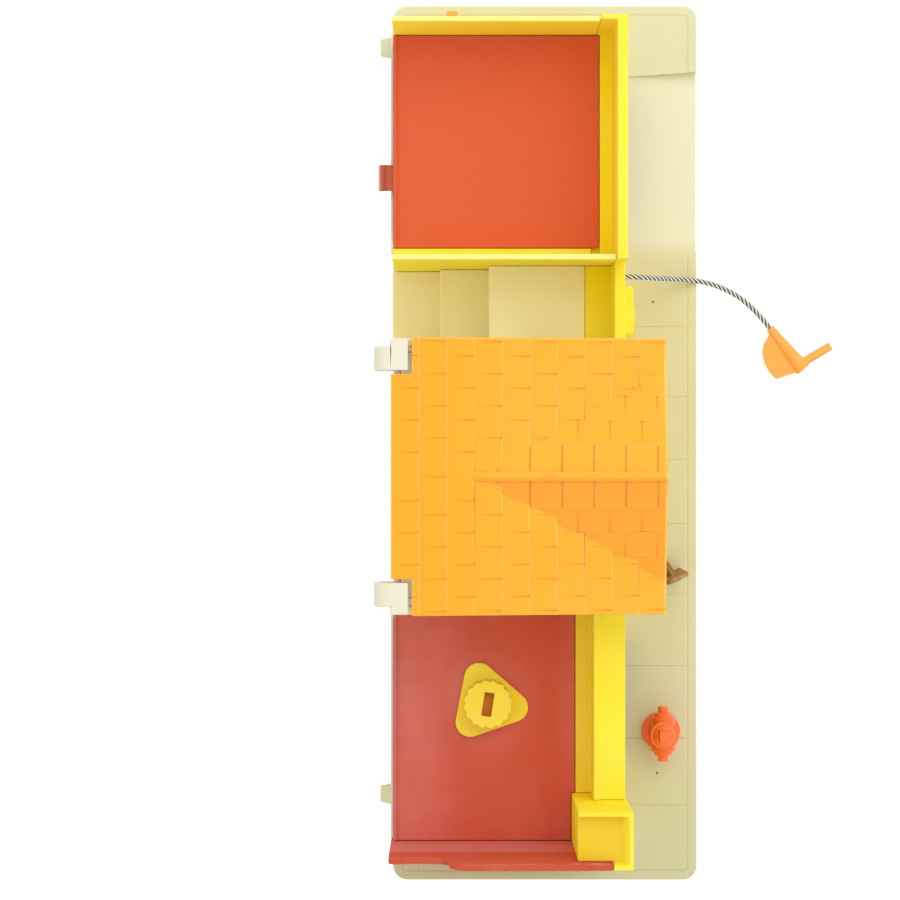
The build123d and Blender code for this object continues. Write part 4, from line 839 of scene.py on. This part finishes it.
class STREET_OT_stage(bpy.types.Operator):
    """Floor, even light, softbox and the camera of the picture"""
    bl_idname = "street.stage"
    bl_label = "Stage"

    def execute(self, context):
        sizes = context.scene.street_sizes
        self.lay_floor(sizes)
        self.light(context, sizes)
        self.set_camera(context, sizes)
        context.scene.view_settings.view_transform = "Standard"
        return {"FINISHED"}

    def lay_floor(self, sizes):
        """White floor: plain to the object, lifted to full white for what looks at it."""
        half = sizes.floor_size / 2
        shape = bmesh.new()
        corners = ((-1, -1), (1, -1), (1, 1), (-1, 1))
        shape.faces.new([shape.verts.new((x * half, y * half, 0)) for x, y in corners])
        floor = new_piece("studio_floor", shape)
        material, tree, surface = new_material("studio_floor")
        surface.inputs["Base Color"].default_value = floor_white
        surface.inputs["Roughness"].default_value = floor_roughness
        surface.inputs["Specular IOR Level"].default_value = 0.0
        lift = add_node(tree, "ShaderNodeEmission",
                        {"Strength": product(tree, background_rays(tree), floor_lift)})
        both = add_node(tree, "ShaderNodeAddShader", {0: surface.outputs[0], 1: lift.outputs[0]})
        tree.links.new(both.outputs[0], tree.nodes["Material Output"].inputs["Surface"])
        floor.data.materials.append(material)

    def light(self, context, sizes):
        """Even sky light and one large softbox over the street side of the garage."""
        world = bpy.data.worlds.new("studio_sky")
        world.use_nodes = True
        tree = world.node_tree
        sky = tree.nodes["Background"].inputs
        sky["Color"].default_value = (1, 1, 1, 1)
        strength = figure(tree, "MAXIMUM", background_rays(tree), sizes.sky_strength)
        tree.links.new(strength, sky["Strength"])
        context.scene.world = world
        lamp = bpy.data.lights.new("softbox", "AREA")
        lamp.energy = sizes.lamp_power
        lamp.size = sizes.lamp_size
        softbox = bpy.data.objects.new("softbox", lamp)
        softbox.location = lamp_place
        softbox.rotation_euler = (-softbox.location).to_track_quat("-Z", "Y").to_euler()
        context.scene.collection.objects.link(softbox)

    def set_camera(self, context, sizes):
        """Camera straight above the street, with the garage at the top of the picture."""
        camera = bpy.data.cameras.new("picture_camera")
        paving_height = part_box("base_tray")[1].z
        camera.lens = camera.sensor_width * (sizes.camera_height - paving_height) / sizes.camera_view
        camera.clip_end = camera_reach
        holder = bpy.data.objects.new("picture_camera", camera)
        holder.location = (*camera_place, sizes.camera_height)
        holder.rotation_euler = (0, 0, -pi / 2)
        context.scene.collection.objects.link(holder)
        context.scene.camera = holder


class STREET_OT_hose(bpy.types.Operator):
    """Twisted cord of the petrol pump, with its grommet, knot and nozzle"""
    bl_idname = "street.hose"
    bl_label = "Pump hose"

    def execute(self, context):
        sizes = context.scene.street_sizes
        line = self.route_line()
        hose = self.twist_strands(sizes, line)
        stands_for(hose, "rope")
        nozzle = moulded("nozzle", "hose_nozzle", "nozzle_orange")
        moulded("rope_grommet", "hose_grommet", "wall_yellow")
        self.tie_knot(sizes)
        return {"FINISHED"}

    def route_line(self):
        """Points along the smooth curve that the route's points control."""
        mesh = curve_mesh("hose_route", rope_route, resolution_u=route_steps)
        line = [vertex.co.copy() for vertex in mesh.vertices]
        bpy.data.meshes.remove(mesh)
        return line

    def frames_along(self, line):
        """At each point of the line: place, distance so far and a pair of directions across it."""
        way = (line[1] - line[0]).normalized()
        side = way.orthogonal().normalized()
        rows, travelled = [], 0.0
        for i, place in enumerate(line):
            ahead = (line[min(i + 1, len(line) - 1)] - line[max(i - 1, 0)]).normalized()
            side = way.rotation_difference(ahead) @ side
            side = (side - ahead * side.dot(ahead)).normalized()
            way = ahead
            travelled += (place - line[i - 1]).length if i else 0.0
            rows.append((place, travelled, side, way.cross(side)))
        return rows

    def strand_rings(self, sizes, rows, number):
        """Rings of points along one strand, wound round the line."""
        radius = sizes.cord_diameter / 2
        strand = radius / (1 + 1 / sin(pi / sizes.cord_strands))
        lay = radius - strand
        rings = []
        for place, travelled, side, up in rows:
            turn = tau * (travelled / sizes.cord_pitch + number / sizes.cord_strands)
            out = side * cos(turn) + up * sin(turn)
            over = up * cos(turn) - side * sin(turn)
            centre = place + out * lay
            rings.append([centre + out * (strand * cos(tau * k / strand_sides))
                          + over * (strand * strand_bulge * sin(tau * k / strand_sides))
                          for k in range(strand_sides)])
        return rings

    def twist_strands(self, sizes, line):
        """All strands, dark and light in turn."""
        rows = self.frames_along(line)
        shape = bmesh.new()
        layer = shape.loops.layers.uv.new("UVMap")
        for number in range(sizes.cord_strands):
            rings = [[shape.verts.new(place) for place in ring]
                     for ring in self.strand_rings(sizes, rows, number)]
            for i, (ring, following) in enumerate(zip(rings, rings[1:])):
                for k in range(strand_sides):
                    j = (k + 1) % strand_sides
                    face = shape.faces.new((ring[k], ring[j], following[j], following[k]))
                    face.material_index = number % 2
                    corners = ((i, k), (i, k + 1), (i + 1, k + 1), (i + 1, k))
                    for loop, (row, across) in zip(face.loops, corners):
                        loop[layer].uv = (rows[row][1] * yarn_scale, across / strand_sides)
            for end in (rings[0][::-1], rings[-1]):
                shape.faces.new(end).material_index = number % 2
        bmesh.ops.recalc_face_normals(shape, faces=shape.faces)
        hose = new_piece("hose_cord", shape)
        for finish in ("cord_dark", "cord_light"):
            hose.data.materials.append(finish_named(finish))
        return hose

    def tie_knot(self, sizes):
        """Overhand knot behind the wall: one closed turn of cord, wound through itself."""
        low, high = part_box("rope_knot")
        centre = (low + high) / 2
        thickness = sizes.cord_diameter * knot_thickness_ratio
        across = (high.x - low.x) / 2 - thickness
        deep = (high.y - low.y) / 2 - thickness
        places = []
        for i in range(knot_points):
            t = tau * i / knot_points
            ring = (sin(t) + 2 * sin(2 * t), cos(t) - 2 * cos(2 * t), -sin(3 * t))
            places.append((centre.x + across * ring[0] / knot_reach, centre.y + deep * ring[2],
                           centre.z + across * ring[1] / knot_reach))
        mesh = curve_mesh("hose_knot", places, closed=True, bevel_depth=thickness,
                          bevel_resolution=knot_smoothness)
        shape = bmesh.new()
        shape.from_mesh(mesh)
        bpy.data.meshes.remove(mesh)
        knot = new_piece("hose_knot", shape)
        knot.data.materials.clear()
        knot.data.materials.append(finish_named("cord_light"))
        stands_for(knot, "rope_knot")


class STREET_OT_base(bpy.types.Operator):
    """Paved base with its board and screws"""
    bl_idname = "street.base"
    bl_label = "Base"

    def execute(self, context):
        moulded("base_tray", "base_paving", "paving_cream", "shingle_edge")
        keep_node("base_plate", "base_board")
        keep_node("base_screws")
        keep_node("wall_screws")
        return {"FINISHED"}


class STREET_OT_walls(bpy.types.Operator):
    """Yellow front wall, the garage's end and cross walls and the shop's tower"""
    bl_idname = "street.walls"
    bl_label = "Yellow walls"

    def execute(self, context):
        moulded("front_wall", "street_front", "wall_yellow", "wall_edge")
        moulded("right_end_wall", "garage_end_wall", "thin_wall_yellow", "wall_edge")
        moulded("right_cross_wall", "garage_cross_wall", "thin_wall_yellow", "wall_edge")
        moulded("corner_tower", "shop_tower", "tower_yellow", "wall_edge")
        return {"FINISHED"}


class STREET_OT_shop_end(bpy.types.Operator):
    """Red end wall of the shop, swept down to the back"""
    bl_idname = "street.shop_end"
    bl_label = "Shop end wall"

    def execute(self, context):
        moulded("left_end_wall", "shop_end_wall", "end_wall_red", "wall_edge")
        return {"FINISHED"}


class STREET_OT_house(bpy.types.Operator):
    """House walls with their hinge blocks, gable and upper floor"""
    bl_idname = "street.house"
    bl_label = "House"

    def execute(self, context):
        for node, name in (("house_right_wall", "house_wall_garage_side"),
                           ("house_left_wall", "house_wall_shop_side"),
                           ("gable_wall", "house_gable"), ("upper_floor", "house_upper_floor")):
            moulded(node, name, "house_ivory", "wall_edge")
        return {"FINISHED"}


class STREET_OT_roof(bpy.types.Operator):
    """Shingled roof with its cross dormer, and the rod that it turns on"""
    bl_idname = "street.roof"
    bl_label = "Roof"

    def execute(self, context):
        moulded("roof", "shingled_roof", "roof_orange", "shingle_edge", crease=roof_crease)
        keep_node("roof_hinge_rod")
        return {"FINISHED"}


class STREET_OT_stairs(bpy.types.Operator):
    """Two treads and a landing"""
    bl_idname = "street.stairs"
    bl_label = "Stairs"

    def execute(self, context):
        moulded("stairs", "stair_treads", "steps_tan", "wall_edge")
        return {"FINISHED"}


class STREET_OT_decks(bpy.types.Operator):
    """Red decks of the garage and the shop"""
    bl_idname = "street.decks"
    bl_label = "Decks"

    def execute(self, context):
        moulded("right_deck", "garage_deck", "garage_deck_red")
        moulded("left_deck", "shop_deck", "shop_deck_red")
        return {"FINISHED"}


class STREET_OT_rear_doors(bpy.types.Operator):
    """Rear doors with their pulls and pins"""
    bl_idname = "street.rear_doors"
    bl_label = "Rear doors"

    def execute(self, context):
        for side in ("right", "left"):
            moulded(f"{side}_rear_door", f"{side}_door_panel", "panel_white")
            moulded(f"{side}_door_pull", f"{side}_door_grip", "pull_cream")
            keep_node(f"{side}_door_pin")
        return {"FINISHED"}


class STREET_OT_display(bpy.types.Operator):
    """Turning three-sided display with its plate and scalloped knob"""
    bl_idname = "street.display"
    bl_label = "Turning display"

    def execute(self, context):
        moulded("display_column", "display_sides", "panel_white")
        moulded("turn_plate", "display_plate", "display_yellow", ratio=plate_edge_ratio,
                segments=fine_segments)
        moulded("turn_knob", "display_knob", "knob_yellow")
        return {"FINISHED"}


class STREET_OT_hydrant(bpy.types.Operator):
    """Orange hydrant"""
    bl_idname = "street.hydrant"
    bl_label = "Hydrant"

    def execute(self, context):
        moulded("hydrant", "street_hydrant", "hydrant_orange")
        return {"FINISHED"}


class STREET_OT_sign(bpy.types.Operator):
    """Brown street sign with its strut"""
    bl_idname = "street.sign"
    bl_label = "Street sign"

    def execute(self, context):
        moulded("street_sign", "sign_board", "sign_brown")
        return {"FINISHED"}


class STREET_OT_pump(bpy.types.Operator):
    """Petrol pump with its dial"""
    bl_idname = "street.pump"
    bl_label = "Petrol pump"

    def execute(self, context):
        moulded("pump_housing", "pump_box", "pump_yellow", ratio=pump_edge_ratio,
                segments=fine_segments)
        moulded("pump_dial", "pump_dial_face", "display_yellow")
        keep_node("dial_clip")
        return {"FINISHED"}


class STREET_OT_wall_knob(bpy.types.Operator):
    """Orange knob on the garage's end wall"""
    bl_idname = "street.wall_knob"
    bl_label = "Wall knob"

    def execute(self, context):
        moulded("wall_knob", "end_wall_knob", "nozzle_orange")
        keep_node("wall_knob_clip")
        return {"FINISHED"}


steps = (STREET_OT_stage, STREET_OT_hose, STREET_OT_base, STREET_OT_walls, STREET_OT_shop_end,
         STREET_OT_house, STREET_OT_roof, STREET_OT_stairs, STREET_OT_decks, STREET_OT_rear_doors,
         STREET_OT_display, STREET_OT_hydrant, STREET_OT_sign, STREET_OT_pump, STREET_OT_wall_knob)


class STREET_PT_panel(bpy.types.Panel):
    """Lists the steps that dress the frame"""
    bl_idname = "STREET_PT_panel"
    bl_label = "Play Street"
    bl_space_type = "VIEW_3D"
    bl_region_type = "UI"
    bl_category = "Play Street"

    def draw(self, context):
        for step in steps:
            self.layout.operator(step.bl_idname)
        for settings in (context.scene.street_sizes, context.scene.street_colours):
            box = self.layout.box()
            for name in settings.__annotations__:
                box.prop(settings, name)


classes = (StreetSizes, StreetColours, *steps, STREET_PT_panel)


def register():
    for item in classes:
        bpy.utils.register_class(item)
    bpy.types.Scene.street_sizes = bpy.props.PointerProperty(type=StreetSizes)
    bpy.types.Scene.street_colours = bpy.props.PointerProperty(type=StreetColours)


def unregister():
    del bpy.types.Scene.street_colours
    del bpy.types.Scene.street_sizes
    for item in reversed(classes):
        bpy.utils.unregister_class(item)


def main():
    """Dress the whole frame."""
    register()
    for step in steps:
        group, name = step.bl_idname.split(".")
        getattr(getattr(bpy.ops, group), name)()
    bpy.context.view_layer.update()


if __name__ == "__main__":
    main()
